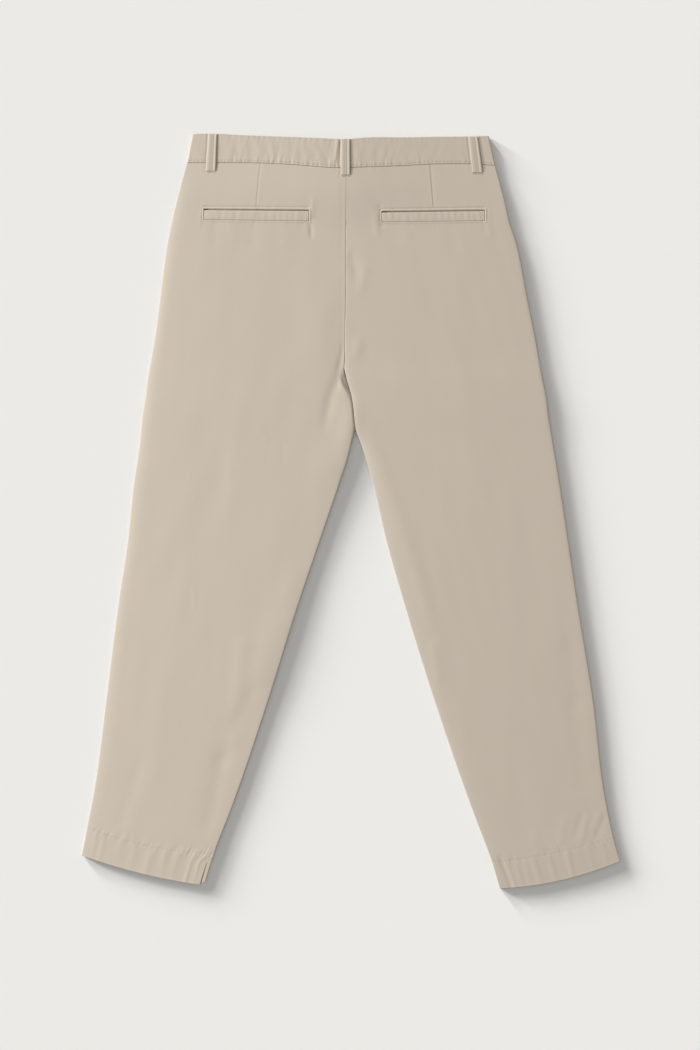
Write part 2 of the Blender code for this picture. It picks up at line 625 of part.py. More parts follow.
def make_waistband(leg):
    """Make one half of the waistband, folded round the side from back to front."""
    sign = leg.sign
    slant = WAIST_SLANT[0 if leg.side == "left" else 1]
    foot_side = abs(leg.rows[0].outer_x)
    radius = WAIST_CLOTH + GAP / 2.0
    low_front = band_low_front_left if leg.side == "left" else band_low_front_right
    inner, outer = [], []
    for down, edge in WAIST_SECTION:
        side = foot_side - slant * (1.0 - down)
        thin = WAIST_CLOTH * (1.0 - edge) * (1.0 - EDGE_CLOTH) / 2.0
        inner_row, outer_row = [], []

        def add(x, inner_height, outer_height, inner_x=None, dip=0.0):
            drop = waist_top(sign * x) + (waist_foot(sign * x) - waist_top(sign * x)) * down + dip
            inner_row.append(place(sign * (x if inner_x is None else inner_x), drop, inner_height))
            outer_row.append(place(sign * x, drop, outer_height))

        across_back = np.arange(4.0, foot_side - 22.0, WAIST_PITCH)
        for x in [GAP / 2.0, *across_back, side - 10.0, side - radius]:
            low = band_low_back(sign * x)
            add(x, low, low + WAIST_CLOTH - 2.0 * thin)
        for angle in SIDE_FOLD_ANGLES:
            turn = math.radians(angle)
            middle = side - radius
            rounded = radius - 2.0 * thin
            add(
                middle + rounded * math.cos(turn),
                radius + GAP / 2.0 * math.sin(turn),
                radius + rounded * math.sin(turn),
                middle + GAP / 2.0 * math.cos(turn),
            )
        front = [side - radius, side - 10.0]
        front += [*np.arange(foot_side - 24.0, FRONT_LOOP_X + 23.0, -16.0)]
        front += [FRONT_LOOP_X + distance for distance in BAND_LOOP_COLUMNS]
        front += [62.0, *np.arange(50.0, -FLY_OVERLAP, -6.0), -FLY_OVERLAP]
        for x in front:
            low = low_front(sign * x)
            add(x, low + WAIST_CLOTH, low + 2.0 * thin, None, front_dip(sign * x))
        inner.append(inner_row)
        outer.append(outer_row)
    return add_wall(f"waistband_{leg.side}", inner, outer, KHAKI)


def back_top(x, drop):
    """Give the height of the seat side's surface, waistband or panel."""
    if drop < waist_foot(x) + 1.0:
        return band_low_back(x) + WAIST_CLOTH
    leg = LEGS[0] if x < 0.0 else LEGS[1]
    return leg.back_heights(*leg.locate(x, drop))[1]


def make_back_loop(loop):
    """Make a belt loop that follows the waistband and steps down to the panel."""
    inner, outer = [], []
    for down in LOOP_STATIONS:
        middle = loop.top_x + (loop.foot_x - loop.top_x) * down
        drop = loop.top_drop + (loop.foot_drop - loop.top_drop) * down
        half = (loop.top_width + (loop.foot_width - loop.top_width) * down) / 2.0
        across = [middle + half * share for share, _ in LOOP_SECTION]
        nearby = [back_top(x, drop - 1.5) for x in across] + [back_top(x, drop) for x in across]
        low = max(nearby) + GAP
        at_end = down in (0.0, 1.0)
        inner_row, outer_row = [], []
        for x, (_, rise) in zip(across, LOOP_SECTION):
            high = low + LOOP_CLOTH + LOOP_RIM * (-2.0 if at_end else rise)
            inner_row.append(place(x, drop, low))
            outer_row.append(place(x, drop, high))
        inner.append(inner_row)
        outer.append(outer_row)
    return add_wall(loop.name, inner, outer, KHAKI)


def make_front_loop(leg):
    """Make a belt loop that lies flat under the front waistband."""
    middle = leg.sign * FRONT_LOOP_X
    top = waist_top(middle) + front_dip(middle) + 0.5
    foot = waist_foot(middle) + front_dip(middle) + FRONT_LOOP_TAIL
    inner, outer = [], []
    for down in (0.0, 0.5, 1.0):
        drop = top + (foot - top) * down
        inner_row, outer_row = [], []
        for share in (-1.0, -0.85, 0.85, 1.0):
            x = middle + share * FRONT_LOOP_WIDTH / 2.0
            rounded = 0.3 if abs(share) == 1.0 else 0.0
            inner_row.append(place(x, drop, LOOP_CLOTH))
            outer_row.append(place(x, drop, rounded))
        inner.append(inner_row)
        outer.append(outer_row)
    return add_wall(f"belt_loop_front_{leg.side}", inner, outer, KHAKI)


def make_fly_shield():
    """Make the strip that lies behind the fly, between front and back."""
    top = waist_foot(0.0) + FRONT_DIP + 2.0
    inner, outer = [], []
    for drop in np.linspace(top, top + FLY_LENGTH, 6):
        narrow = FLY_NARROW * ease((drop - top - FLY_LENGTH * 0.6) / (FLY_LENGTH * 0.4))
        inner_row, outer_row = [], []
        for x in (-FLY_WIDTH * (1.0 - narrow), -FLY_WIDTH / 2.0, 0.0, 4.0):
            inner_row.append(place(x, drop, CLOTH + GAP + FLY_CLOTH))
            outer_row.append(place(x, drop, CLOTH + GAP))
        inner.append(inner_row)
        outer.append(outer_row)
    return add_wall("fly_shield", inner, outer, KHAKI_DARK)


def make_button():
    """Make the waist button, dished on the side that faces the ground."""
    bm = bmesh.new()
    bmesh.ops.create_cone(
        bm,
        cap_ends=True,
        segments=24,
        radius1=BUTTON_RADIUS,
        radius2=BUTTON_RADIUS,
        depth=BUTTON_THICK,
    )
    face = min(bm.faces, key=lambda item: item.calc_center_median().z)
    bmesh.ops.inset_region(bm, faces=[face], thickness=BUTTON_RIM)
    bmesh.ops.translate(bm, vec=(0.0, 0.0, BUTTON_DISH), verts=face.verts)
    middle_drop = (waist_top(0.0) + waist_foot(0.0)) / 2.0 + FRONT_DIP
    bmesh.ops.scale(bm, vec=(MM, MM, MM), verts=bm.verts)
    bmesh.ops.translate(bm, vec=place(0.0, middle_drop, BUTTON_THICK / 2.0), verts=bm.verts)
    return add_object("button", bm, HORN, 0.35)


def main():
    """Clear the scene and make every piece."""
    for old in list(bpy.data.objects):
        bpy.data.objects.remove(old, do_unlink=True)
    for leg in LEGS:
        make_back(leg)
        make_front(leg)
        make_pocket_side(leg)
        make_waistband(leg)
        make_welt(leg)
        make_front_loop(leg)
    for loop in BACK_LOOPS:
        make_back_loop(loop)
    make_fly_shield()
    make_button()


main()
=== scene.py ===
"""Chino trousers laid flat on their front, seat side up: cloth, seams, thread and studio.

Lengths are in millimetres until a point is placed. A point is given by x, to the right of
the centre back seam, by drop, down the garment from the top of the waist, and by height
above the surface that the trousers lie on. The waist points to +Y.
"""

import logging
import math
from dataclasses import dataclass
from enum import Enum
from typing import Any, NamedTuple, Sequence

import bmesh
import bpy
import numpy as np
from mathutils import Matrix, Vector


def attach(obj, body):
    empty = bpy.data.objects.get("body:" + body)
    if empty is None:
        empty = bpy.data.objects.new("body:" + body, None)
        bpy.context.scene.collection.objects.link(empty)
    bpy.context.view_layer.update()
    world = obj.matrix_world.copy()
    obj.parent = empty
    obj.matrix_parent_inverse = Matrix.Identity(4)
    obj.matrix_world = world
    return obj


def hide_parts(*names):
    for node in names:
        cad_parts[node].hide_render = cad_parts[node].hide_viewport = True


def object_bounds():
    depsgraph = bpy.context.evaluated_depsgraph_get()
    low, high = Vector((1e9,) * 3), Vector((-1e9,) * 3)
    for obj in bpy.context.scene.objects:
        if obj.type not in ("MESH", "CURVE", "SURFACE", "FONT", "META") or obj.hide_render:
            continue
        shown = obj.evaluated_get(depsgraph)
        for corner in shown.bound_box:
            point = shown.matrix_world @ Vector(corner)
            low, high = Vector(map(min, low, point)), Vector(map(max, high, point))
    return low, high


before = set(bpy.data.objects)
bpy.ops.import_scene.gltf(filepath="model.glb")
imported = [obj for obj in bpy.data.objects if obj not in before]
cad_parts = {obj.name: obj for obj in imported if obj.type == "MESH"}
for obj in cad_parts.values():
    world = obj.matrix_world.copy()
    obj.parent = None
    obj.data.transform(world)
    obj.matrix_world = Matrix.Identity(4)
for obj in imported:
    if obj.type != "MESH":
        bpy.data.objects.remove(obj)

Array = np.ndarray
Object = bpy.types.Object
Material = bpy.types.Material
log = logging.getLogger("chinos")

MM = 0.001
CAD_LOW, CAD_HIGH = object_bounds()
TOP = CAD_HIGH.y / MM      # the top of the waist in the frame
SEAM_X = -8.2              # the centre back seam in the frame

CLOTH = 1.2                # wall of one panel
HEM_CLOTH = 1.7            # panel and its turned-up hem
HEM_CLEAR = 45             # the back starts to rise over the front's hem this far above it
WAIST_SLOPE = 75           # length over which the back comes down from the waistband
WAIST_CLOTH = 2.0          # waistband, two layers and their stiffening
WAIST_DEPTH = 38
GAP = 0.3                  # air between pieces that lie on each other
SEAM_GAP = 0.08            # between edges that are sewn together
WAIST_SEAM_GAP = 0.35
EDGE_SOFT = 0.9            # how far in from a sewn edge the wall is full again
SHIFT_REACH = 42           # width over which the cloth takes up a shift of its edge
FRONT_DIP = 15             # how much lower the waist lies at centre front
FRONT_LOOP_X = 95
LOOP_CLOTH = 1.3
LOOP_LENGTH = 52
BUTTON_THICK = 1.8
BUTTON_RADIUS = 7.5
FLY_OVERLAP = 22           # how far each end of the waistband passes centre front
STITCH = 3.1               # length of one stitch with the space after it


# --------------------------------------------------------------------------- sums


def smooth(at: Array, knots: Sequence[float], values: Sequence[float]) -> Array:
    """Read a smooth curve through known values.

    Args:
        at: Where to read the curve.
        knots: Where the values are known, rising.
        values: The known values.

    Returns:
        The curve at each place.
    """
    at, knots, values = np.asarray(at, float), np.asarray(knots), np.asarray(values)
    slopes = np.gradient(values, knots)
    index = np.clip(np.searchsorted(knots, at) - 1, 0, len(knots) - 2)
    step = knots[index + 1] - knots[index]
    share = (at - knots[index]) / step
    square, cube = share ** 2, share ** 3
    start = (2 * cube - 3 * square + 1) * values[index]
    start_slope = (cube - 2 * square + share) * step * slopes[index]
    end = (3 * square - 2 * cube) * values[index + 1]
    return start + start_slope + end + (cube - square) * step * slopes[index + 1]


def ease(value: Array) -> Array:
    """Turn 0 to 1 into a soft start and a soft stop."""
    return 0.5 - 0.5 * np.cos(np.pi * np.clip(value, 0, 1))


def hill(distance: Array, flat: float, slope: float) -> Array:
    """Give 1 on a flat top, and 0 past the slope on each side of it."""
    return 1 - ease((np.abs(distance) - flat) / slope)


def bell(distance: Array, width: float) -> Array:
    """Give 1 at no distance, fading away on both sides over a width."""
    return np.exp(-((distance / width) ** 2))


def rounding(distance: Array, radius: float) -> Array:
    """Give the share of full height that a rounded edge has at a distance from it."""
    return np.sqrt(1 - (1 - np.clip(distance / radius, 0, 1)) ** 2)


def place(x: Array, drop: Array, height: Array) -> Array:
    """Give points in the frame, in metres: x, drop and height become X, Y and Z."""
    x, drop, height = np.broadcast_arrays(x, drop, height)
    return np.stack([(x + SEAM_X) * MM, (TOP - drop) * MM, height * MM], axis=-1)


def spread(*stretches: tuple[float, float, float]) -> Array:
    """Give places along a line, each stretch with its own spacing.

    Args:
        stretches: Start, end and spacing of each stretch, one after another.

    Returns:
        The places, without repeats.
    """
    found = [stretches[0][0]]
    for start, end, spacing in stretches:
        count = max(int(round((end - start) / spacing)), 1)
        found += list(np.linspace(start, end, count + 1)[1:])
    return np.array(found)


# ----------------------------------------------------------------- creases and gathers


class Crease(NamedTuple):
    """A soft ridge or trough along a bent line: x, drop and height of each point."""

    width: float
    points: tuple[tuple[float, float, float], ...]

    def rise(self, x: Array, drop: Array) -> Array:
        """Give how much the crease lifts the cloth.

        Args:
            x: Where the cloth's points lie across.
            drop: Where they lie down the garment.

        Returns:
            The lift at each point.
        """
        nearest, height = np.full(np.shape(x), np.inf), np.zeros(np.shape(x))
        for (x0, drop0, height0), (x1, drop1, height1) in zip(self.points, self.points[1:]):
            across, down = x1 - x0, drop1 - drop0
            share = ((x - x0) * across + (drop - drop0) * down) / (across ** 2 + down ** 2)
            share = np.clip(share, 0, 1)
            away = np.hypot(x - x0 - share * across, drop - drop0 - share * down)
            height = np.where(away < nearest, height0 + (height1 - height0) * share, height)
            nearest = np.minimum(nearest, away)
        return height * bell(nearest, self.width)


def straight(*rows: tuple[float, ...]) -> tuple[Crease, ...]:
    """Give straight creases.

    Args:
        rows: x and drop of both ends, width and height of each crease.

    Returns:
        The creases.
    """
    return tuple(
        Crease(width, ((x0, drop0, height), (x1, drop1, height)))
        for x0, drop0, x1, drop1, width, height in rows
    )


def gathers(
    seed: int, length: float, pitch: float, height: float, reach: float, along: Array, away: Array
) -> Array:
    """Give the small uneven puckers that a row of stitching pulls into the cloth.

    Args:
        seed: Which puckers.
        length: How far they go along the row.
        pitch: Their usual spacing.
        height: The most that one lifts or sinks.
        reach: How far from the row they are felt.
        along: Each point's distance along the row.
        away: Its distance from the row.

    Returns:
        The lift at each point, part of it negative.
    """
    rng = np.random.default_rng(seed)
    total = np.zeros(np.broadcast(along, away).shape)
    at, sign = 0.0, 1.0
    while at < length:
        at += pitch * rng.uniform(0.55, 1.45)
        width = pitch * rng.uniform(0.25, 0.55)
        faded = reach * rng.uniform(0.5, 1.5)
        lift = height * rng.uniform(0.25, 1.0) * sign
        total += lift * bell(along - at, width) * bell(away, faded)
        sign = -sign
    return total


def drift(seed: int, across: Array, along: Array) -> Array:
    """Give the broad, shallow unevenness of cloth that was smoothed flat by hand.

    Args:
        seed: Which unevenness.
        across: Each point's distance across the panel.
        along: Its distance along it.

    Returns:
        The lift at each point.
    """
    most, waves = 0.06, 12
    rng = np.random.default_rng(seed)
    total = np.zeros(np.broadcast(across, along).shape)
    for _ in range(waves):
        wave_across = rng.uniform(28, 90)
        wave_along = rng.uniform(110, 420) * rng.choice((-1.0, 1.0))
        turn = rng.uniform(0, 2 * math.pi)
        total += np.sin(2 * math.pi * (across / wave_across + along / wave_along) + turn)
    return total * most / math.sqrt(waves)


# --------------------------------------------------------------------- the two legs


class Station(NamedTuple):
    """A row across one leg, from its outer side to its inner side.

    bow is the sag of the row between the two, loft the air under the back panel, fall the
    share of the loft lost at the inner edge, and roll the width over which it is lost.
    """

    name: str
    outer_x: float
    outer_drop: float
    inner_x: float
    inner_drop: float
    bow: float
    loft: float
    fall: float
    roll: float


LEFT_STATIONS = (
    Station("waist", -218.8, 40.2, 1.7, 46, 0, 0.2, 0.1, 3),
    Station("pocket_mouth", -235.5, 103.6, 1.7, 106.1, 0, 1.9, 0.1, 2.5),
    Station("pocket_foot", -239.1, 118.6, 1.5, 122.2, 0, 2.1, 0.1, 2.5),
    Station("hip", -245.3, 149.6, 1.4, 152.4, 0, 2.3, 0.1, 2.5),
    Station("seat", -256.2, 229.9, 1.1, 234.1, 0, 2.5, 0.1, 2.5),
    Station("low_seat", -262.3, 277, -0.5, 281.2, 0, 2.4, 0.1, 2.5),
    Station("fork", -269.3, 318, -1.6, 323.5, 0, 2.3, 0.12, 3),
    Station("slit", -272.8, 337, -3, 341.3, 0, 2.4, 1, 2),
    Station("slit_end", -276, 362.9, 8.4, 365.1, 0, 2.5, 1, 1),
    Station("closed", -280.5, 393.3, 12.9, 396.1, 0, 2.4, 1, 1.5),
    Station("parting", -282.1, 408.6, 13.7, 408.6, 0, 2.3, 1, 2.5),
    Station("inner_thigh", -284.1, 429.4, 8.6, 429.4, 0, 2.2, 1, 6),
    Station("gusset", -286.4, 446, 4.2, 447.4, 0, 2.2, 1, 6),
    Station("thigh", -291.6, 479.2, -6.9, 482, 0, 2.1, 1, 6),
    Station("mid_thigh", -300.5, 562.3, -35.6, 566.5, 0.5, 2, 1, 6),
    Station("knee", -313, 645.4, -65.1, 653.7, 1, 1.8, 1, 6),
    Station("calf", -330.6, 783.9, -110.4, 797.8, 2, 1.5, 1, 6),
    Station("ankle", -347.6, 911.3, -157.9, 936.3, 4, 1.2, 1, 6),
    Station("hem_stitch", -356.9, 959.8, -181.2, 996.6, 8, 0.9, 0.6, 5),
    Station("hem", -364.5, 998.6, -193.2, 1040.6, 5, 0.6, 0.3, 4),
)

RIGHT_STATIONS = (
    Station("waist", 208, 42.7, 1.7, 46, 0, 0.2, 0.1, 3),
    Station("pocket_mouth", 223.8, 105, 1.7, 108.3, 0, 1.9, 0.13, 2.5),
    Station("pocket_foot", 227.1, 120.6, 1.5, 123.2, 0, 2.1, 0.13, 2.5),
    Station("hip", 236.6, 149.6, 1.4, 152.4, 0, 2.3, 0.13, 2.5),
    Station("seat", 252.8, 229.9, 1.1, 234.1, 0, 2.5, 0.13, 2.5),
    Station("low_seat", 262.3, 277, -0.5, 281.2, 0, 2.4, 0.13, 2.5),
    Station("fork", 269.6, 318, -1.6, 323.5, 0, 2.5, 0.35, 4),
    Station("slit", 273, 337, 2.9, 341.3, 0, 3, 0.45, 5),
    Station("slit_end", 278.4, 362.9, 9.5, 365.1, 0, 3.1, 0.5, 5),
    Station("closed", 282.3, 393.3, 13.1, 396.1, 0, 2.9, 0.6, 5),
    Station("parting", 284.8, 408.6, 14.4, 408.6, 0, 2.6, 0.85, 5),
    Station("inner_thigh", 288.1, 429.4, 22.2, 429.4, 0, 2.4, 1, 5),
    Station("gusset", 290.9, 446, 28, 447.4, 0, 2.4, 1, 7),
    Station("thigh", 296.4, 479.2, 38.2, 482, 0, 2.3, 1, 8),
    Station("mid_thigh", 308.9, 562.3, 58.2, 566.5, 0.5, 2.3, 1, 11),
    Station("knee", 321.3, 645.4, 83.1, 653.7, 1, 2.1, 1, 13),
    Station("calf", 343.5, 783.9, 128.4, 797.8, 2, 1.8, 1, 8),
    Station("ankle", 359.7, 915.5, 176.6, 936.3, 3, 1.4, 1, 8),
    Station("hem_stitch", 371.9, 975, 203.5, 1008.5, 4, 0.9, 0.6, 6),
    Station("hem", 380.9, 1006.9, 214.2, 1044.7, 8, 0.6, 0.3, 4),
)

# The waistband's edges across the back: x, and the drop of the top and of the lower edge.
WAISTBAND_EDGES = (
    (-218.8, 1.6, 40.2), (-200.8, 0.3, 40.2), (-131.6, 2.8, 40.4), (-51.2, 6, 44.8), (-30, 7, 46.8),
    (0, 8.3, 47.6), (31.9, 5.7, 46.4), (76, 5.5, 44.7), (131.6, 4.4, 41.9), (173.1, 3.9, 41.8),
    (208, 2.8, 44.1),
)
EDGE_X, EDGE_TOP, EDGE_FOOT = zip(*WAISTBAND_EDGES)

# How much the loops, the button and the lapped fly lift the back: distance from the
# centre, and lift. The waistband is stiff, so it bridges them in a long slope.
FRONT_STACK = (
    (0, 4.4), (9, 4.38), (30, 3.95), (60, 3.05), (95, 1.95), (104, 1.7), (135, 0.85), (180, 0.1), (260, 0),
)


def waist_top(x: Array) -> Array:
    """Give the drop of the waistband's top edge across the back."""
    return smooth(x, EDGE_X, EDGE_TOP)


def waist_foot(x: Array) -> Array:
    """Give the drop of the waistband's lower edge across the back."""
    return smooth(x, EDGE_X, EDGE_FOOT)


def band_drop(x: Array, down: Array) -> Array:
    """Give the drop a share of the way down the waistband."""
    return waist_top(x) + (waist_foot(x) - waist_top(x)) * down


def front_dip(x: Array) -> Array:
    """Give how much lower the waist of the front lies than that of the back."""
    side = np.where(np.asarray(x) < 0, EDGE_X[0], EDGE_X[-1])
    return FRONT_DIP * np.maximum(1 - (x / side) ** 2, 0)


def front_stack(x: Array) -> Array:
    """Give how much what lies at the front lifts the back."""
    return smooth(np.abs(x), *zip(*FRONT_STACK))


def loop_lift(x: Array) -> Array:
    """Give how much the cloth over a front belt loop is lifted."""
    return (LOOP_CLOTH + GAP) * hill(np.abs(x) - FRONT_LOOP_X, 7.5, 10)


class Side(Enum):
    """The wearer's left or right, which is also left or right as seen on the seat side."""

    LEFT = "left"
    RIGHT = "right"


class Pocket(NamedTuple):
    """A back pocket's opening and its dart, as shares of the width from the outer side."""

    start: float
    end: float
    dart_at_waist: float
    dart_at_pocket: float


@dataclass(frozen=True)
class Leg:
    """One leg with its half of the seat: where its points lie in the flat.

    shifts gives, at some levels, how far the back's inner edge lies past the leg's outline.
    """

    side: Side
    stations: tuple[Station, ...]
    pocket: Pocket
    shifts: tuple[tuple[float, float], ...] = ((0, 0),)

    @property
    def sign(self) -> float:
        """Give -1 on the left and 1 on the right."""
        return -1.0 if self.side is Side.LEFT else 1.0

    def at(self, name: str) -> float:
        """Give the level of a named station."""
        return next(row.outer_drop for row in self.stations if row.name == name)

    def shift(self, level: Array) -> Array:
        """Give how far the back's inner edge lies past the outline at any level."""
        return np.interp(level, *zip(*self.shifts))

    def read(self, level: Array, column: str) -> Array:
        """Read one column of the stations at any level down the leg.

        Args:
            level: Drop of the row's outer end.
            column: Field of Station. The inner edge is two curves, the centre back seam
                and then the inseam.

        Returns:
            The column's value at each level.
        """
        knots = [row.outer_drop for row in self.stations]
        values = [getattr(row, column) for row in self.stations]
        if not column.startswith("inner"):
            return smooth(level, knots, values)
        split = knots.index(self.at("fork"))
        seam = smooth(level, knots[:split + 1], values[:split + 1])
        inseam = smooth(level, knots[split:], values[split:])
        return np.where(np.asarray(level) <= knots[split], seam, inseam)

    def width(self, level: Array) -> Array:
        """Give the width of the leg along the row at a level."""
        across = self.read(level, "inner_x") - self.read(level, "outer_x")
        return np.hypot(across, self.read(level, "inner_drop") - level)

    def point(self, level: Array, share: Array) -> tuple[Array, Array]:
        """Find points by their row and their place in it.

        Args:
            level: Level down the leg.
            share: Share of the way from the outer to the inner edge.

        Returns:
            x and drop.
        """
        inner_x = self.read(level, "inner_x") + self.sign * SEAM_GAP / 2
        outer_x = self.read(level, "outer_x")
        x = outer_x + (inner_x - outer_x) * share
        drop = level + (self.read(level, "inner_drop") - level) * share
        drop = drop + self.read(level, "bow") * 4 * share * (1 - share)
        waist, below = self.stations[:2]
        fade = 1 - ease((level - waist.outer_drop) / (below.outer_drop - waist.outer_drop))
        flat = waist.outer_drop + (waist.inner_drop - waist.outer_drop) * share
        return x, drop + fade * (waist_foot(x) + WAIST_SEAM_GAP - flat)

    def locate(self, x: Array, drop: Array) -> tuple[Array, Array]:
        """Find the row of points and their place in it.

        Args:
            x: Where the points lie across.
            drop: Where they lie down the garment.

        Returns:
            Level, and share of the way from the outer to the inner edge.
        """
        level, share = np.asarray(drop, float), np.zeros_like(x)
        for _ in range(6):
            outer_x = self.read(level, "outer_x")
            share = (x - outer_x) / (self.read(level, "inner_x") - outer_x)
            level = np.maximum(level - (self.point(level, share)[1] - drop), self.stations[0].outer_drop)
        return level, share

    def opening(self, level: Array) -> tuple[Array, Array]:
        """Find the ends of the pocket opening, which are upright.

        Args:
            level: Level down the leg.

        Returns:
            The shares at which it starts and ends.
        """
        mouth, foot = self.at("pocket_mouth"), self.at("pocket_foot")
        near = np.clip(level, mouth - 8, foot + 8)
        outer_x, mouth_x = self.read(near, "outer_x"), self.read(mouth, "outer_x")
        across, mouth_across = self.read(near, "inner_x") - outer_x, self.read(mouth, "inner_x") - mouth_x
        start, end = ((mouth_x + mouth_across * part - outer_x) / across for part in self.pocket[:2])
        return start, end

    def wall(self, level: Array) -> Array:
        """Give the wall's thickness, which grows at the stitched hem."""
        return CLOTH + (HEM_CLOTH - CLOTH) * ease((level - self.at("hem_stitch")) / 4)


LEGS = {
    Side.LEFT: Leg(
        Side.LEFT,
        LEFT_STATIONS,
        Pocket(0.169, 0.784, 0.464, 0.476),
        (
            (318, 0), (322, 0.3), (337, 7.6), (362.9, 2.4), (378, 1), (393.3, 0.6), (407, 0), (964, 0),
            (970, -6.3), (998.6, -8),
        ),
    ),
    Side.RIGHT: Leg(Side.RIGHT, RIGHT_STATIONS, Pocket(0.136, 0.779, 0.437, 0.455)),
}


# ------------------------------------------------------------------------ materials


def linear(hex_colour: str) -> tuple[float, float, float, float]:
    """Turn an sRGB hex colour into the linear one that Blender takes.

    Args:
        hex_colour: A hash and six digits.

    Returns:
        Red, green and blue, and 1.
    """
    parts = [int(hex_colour[start:start + 2], 16) / 255 for start in (1, 3, 5)]
    made = [part / 12.92 if part <= 0.04045 else ((part + 0.055) / 1.055) ** 2.4 for part in parts]
    return (made[0], made[1], made[2], 1.0)


def add_node(tree: Any, kind: str, inputs: dict[Any, Any], **settings: Any) -> Any:
    """Add a node with its settings, its values and its links.

    Args:
        tree: The node tree.
        kind: The node's type, after "ShaderNode".
        inputs: Socket name or number to a value, or to the socket that feeds it.
        settings: The node's own properties.

    Returns:
        The node.
    """
    node = tree.nodes.new(f"ShaderNode{kind}")
    for key, value in settings.items():
        setattr(node, key, value)
    for socket, value in inputs.items():
        if isinstance(value, bpy.types.NodeSocket):
            tree.links.new(value, node.inputs[socket])
        else:
            node.inputs[socket].default_value = value
    return node


def new_material(name: str, **shading: float) -> tuple[Material, Any, Any]:
    """Start a material.

    Args:
        name: Its name.
        shading: Values on the shader's own sockets.

    Returns:
        The material, its node tree and its shader.
    """
    material = bpy.data.materials.new(name)
    material.use_nodes = True
    shader = material.node_tree.nodes["Principled BSDF"]
    for socket, value in shading.items():
        shader.inputs[socket.replace("_", " ")].default_value = value
    return material, material.node_tree, shader


@dataclass(frozen=True)
class Twill:
    """Cotton twill, piece dyed and washed: matt, with fine diagonal ribs and soft slubs.

    The fibres' short fuzz spreads the light, so it has no gloss and a faint sheen at a
    low angle, and the yarns' unevenness gives faint streaks down the leg.
    """

    name: str
    colour: str
    rib: float = 0.8           # the twill's ribs, drawn coarser than real ones so that they show
    rib_depth: float = 0.05
    slub: tuple[float, float, float] = (2.2, 70, 0.035)    # streaks: width, length, share
    mottle: tuple[float, float, float] = (60, 96, 0.03)    # the dye's unevenness, the same
    wear_and_shading_share: float = 0.16   # how much the lighter edges, partly wear and partly painted highlight, and the painted shade in seams and grooves change the colour

    def build(self) -> Material:
        """Make the twill as a material.

        Returns:
            The material.
        """
        material, tree, shader = new_material(
            self.name, Roughness=0.92, Specular_IOR_Level=0.25, Sheen_Weight=0.12, Sheen_Roughness=0.5
        )
        grain = add_node(tree, "Attribute", {}, attribute_name="grain").outputs["Vector"]
        # This attribute holds painted shade in seams, grooves and under other pieces, and lighter edges that
        # are partly wear and partly painted highlight.
        wear_and_shading = add_node(tree, "Attribute", {}, attribute_name="wear_and_shading").outputs["Fac"]
        streaks = self.noise(tree, grain, *self.slub[:2], 3)
        blotches = self.noise(tree, grain, *self.mottle[:2], 2)
        layers = ((streaks, self.slub[2]), (blotches, self.mottle[2]), (wear_and_shading, self.wear_and_shading_share))
        level: Any = 1 - 0.5 * (self.slub[2] + self.mottle[2])
        for source, share in layers:
            node = add_node(tree, "Math", {0: source, 1: share, 2: level}, operation="MULTIPLY_ADD")
            level = node.outputs[0]
        inputs = {0: 1.0, 6: linear(self.colour), 7: level}
        colour = add_node(tree, "Mix", inputs, data_type="RGBA", blend_type="MULTIPLY")
        tree.links.new(colour.outputs[2], shader.inputs["Base Color"])
        tree.links.new(self.ribs(tree, grain), shader.inputs["Normal"])
        return material

    def noise(self, tree: Any, grain: Any, across: float, along: float, detail: float) -> Any:
        """Add a noise stretched to a size across and along the grain.

        Args:
            tree: The material's node tree.
            grain: The socket with the place along the threads.
            across: Its size across the threads.
            along: Its size along them.
            detail: How many finer layers it has.

        Returns:
            The socket with the noise.
        """
        scale = (1 / (across * MM), 1 / (along * MM), 1 / (across * MM))
        mapping = add_node(tree, "Mapping", {"Vector": grain, "Scale": scale})
        inputs = {"Vector": mapping.outputs[0], "Scale": 1.0, "Detail": detail}
        return add_node(tree, "TexNoise", inputs).outputs[0]

    def ribs(self, tree: Any, grain: Any) -> Any:
        """Add the diagonal ribs and the yarn's grit as a bump.

        Args:
            tree: The material's node tree.
            grain: The socket with the place along the threads.

        Returns:
            The socket with the bumped normal.
        """
        parts = add_node(tree, "SeparateXYZ", {0: grain}).outputs
        slant = add_node(tree, "Math", {0: parts[0], 1: 1.0, 2: parts[1]}, operation="MULTIPLY_ADD")
        turns = 2 * math.pi / (self.rib * math.sqrt(2) * MM)
        angle = add_node(tree, "Math", {0: slant.outputs[0], 1: turns}, operation="MULTIPLY")
        wave = add_node(tree, "Math", {0: angle.outputs[0]}, operation="SINE")
        inputs = {0: wave.outputs[0], 1: 0.3, 2: self.noise(tree, grain, 0.9, 1.4, 2)}
        height = add_node(tree, "Math", inputs, operation="MULTIPLY_ADD")
        inputs = {"Strength": 0.6, "Distance": self.rib_depth * MM, "Height": height.outputs[0]}
        return add_node(tree, "Bump", inputs).outputs[0]


@dataclass(frozen=True)
class Plain:
    """A smooth, even finish: core-spun sewing thread, or cast polyester for the button.

    Thread is two plies of waxed cotton over a polyester core, a touch glossier than the
    cloth. Cast polyester is hard and clear on top, so it shows a small soft highlight.
    """

    name: str
    colour: str
    roughness: float
    grain_size: float = 3.0
    grain_share: float = 0.1

    def build(self) -> Material:
        """Make the finish as a material.

        Returns:
            The material.
        """
        material, tree, shader = new_material(self.name, Roughness=self.roughness)
        where = add_node(tree, "TexCoord", {}).outputs["Object"]
        scale = 1 / (self.grain_size * MM)
        noise = add_node(tree, "TexNoise", {"Vector": where, "Scale": scale, "Detail": 2})
        ramp = add_node(tree, "ValToRGB", {0: noise.outputs[0]})
        for stop, sign in zip(ramp.color_ramp.elements, (-1, 1)):
            base = linear(self.colour)[:3]
            stop.color = (*(part * (1 + sign * self.grain_share) for part in base), 1)
        tree.links.new(ramp.outputs[0], shader.inputs["Base Color"])
        return material


TWILL = Twill("cotton_twill", "#C4B8A7")
THREAD = Plain("core_spun_thread", "#CBBFAB", 0.7)
POLYESTER = Plain("cast_polyester_button", "#8B7A63", 0.35)


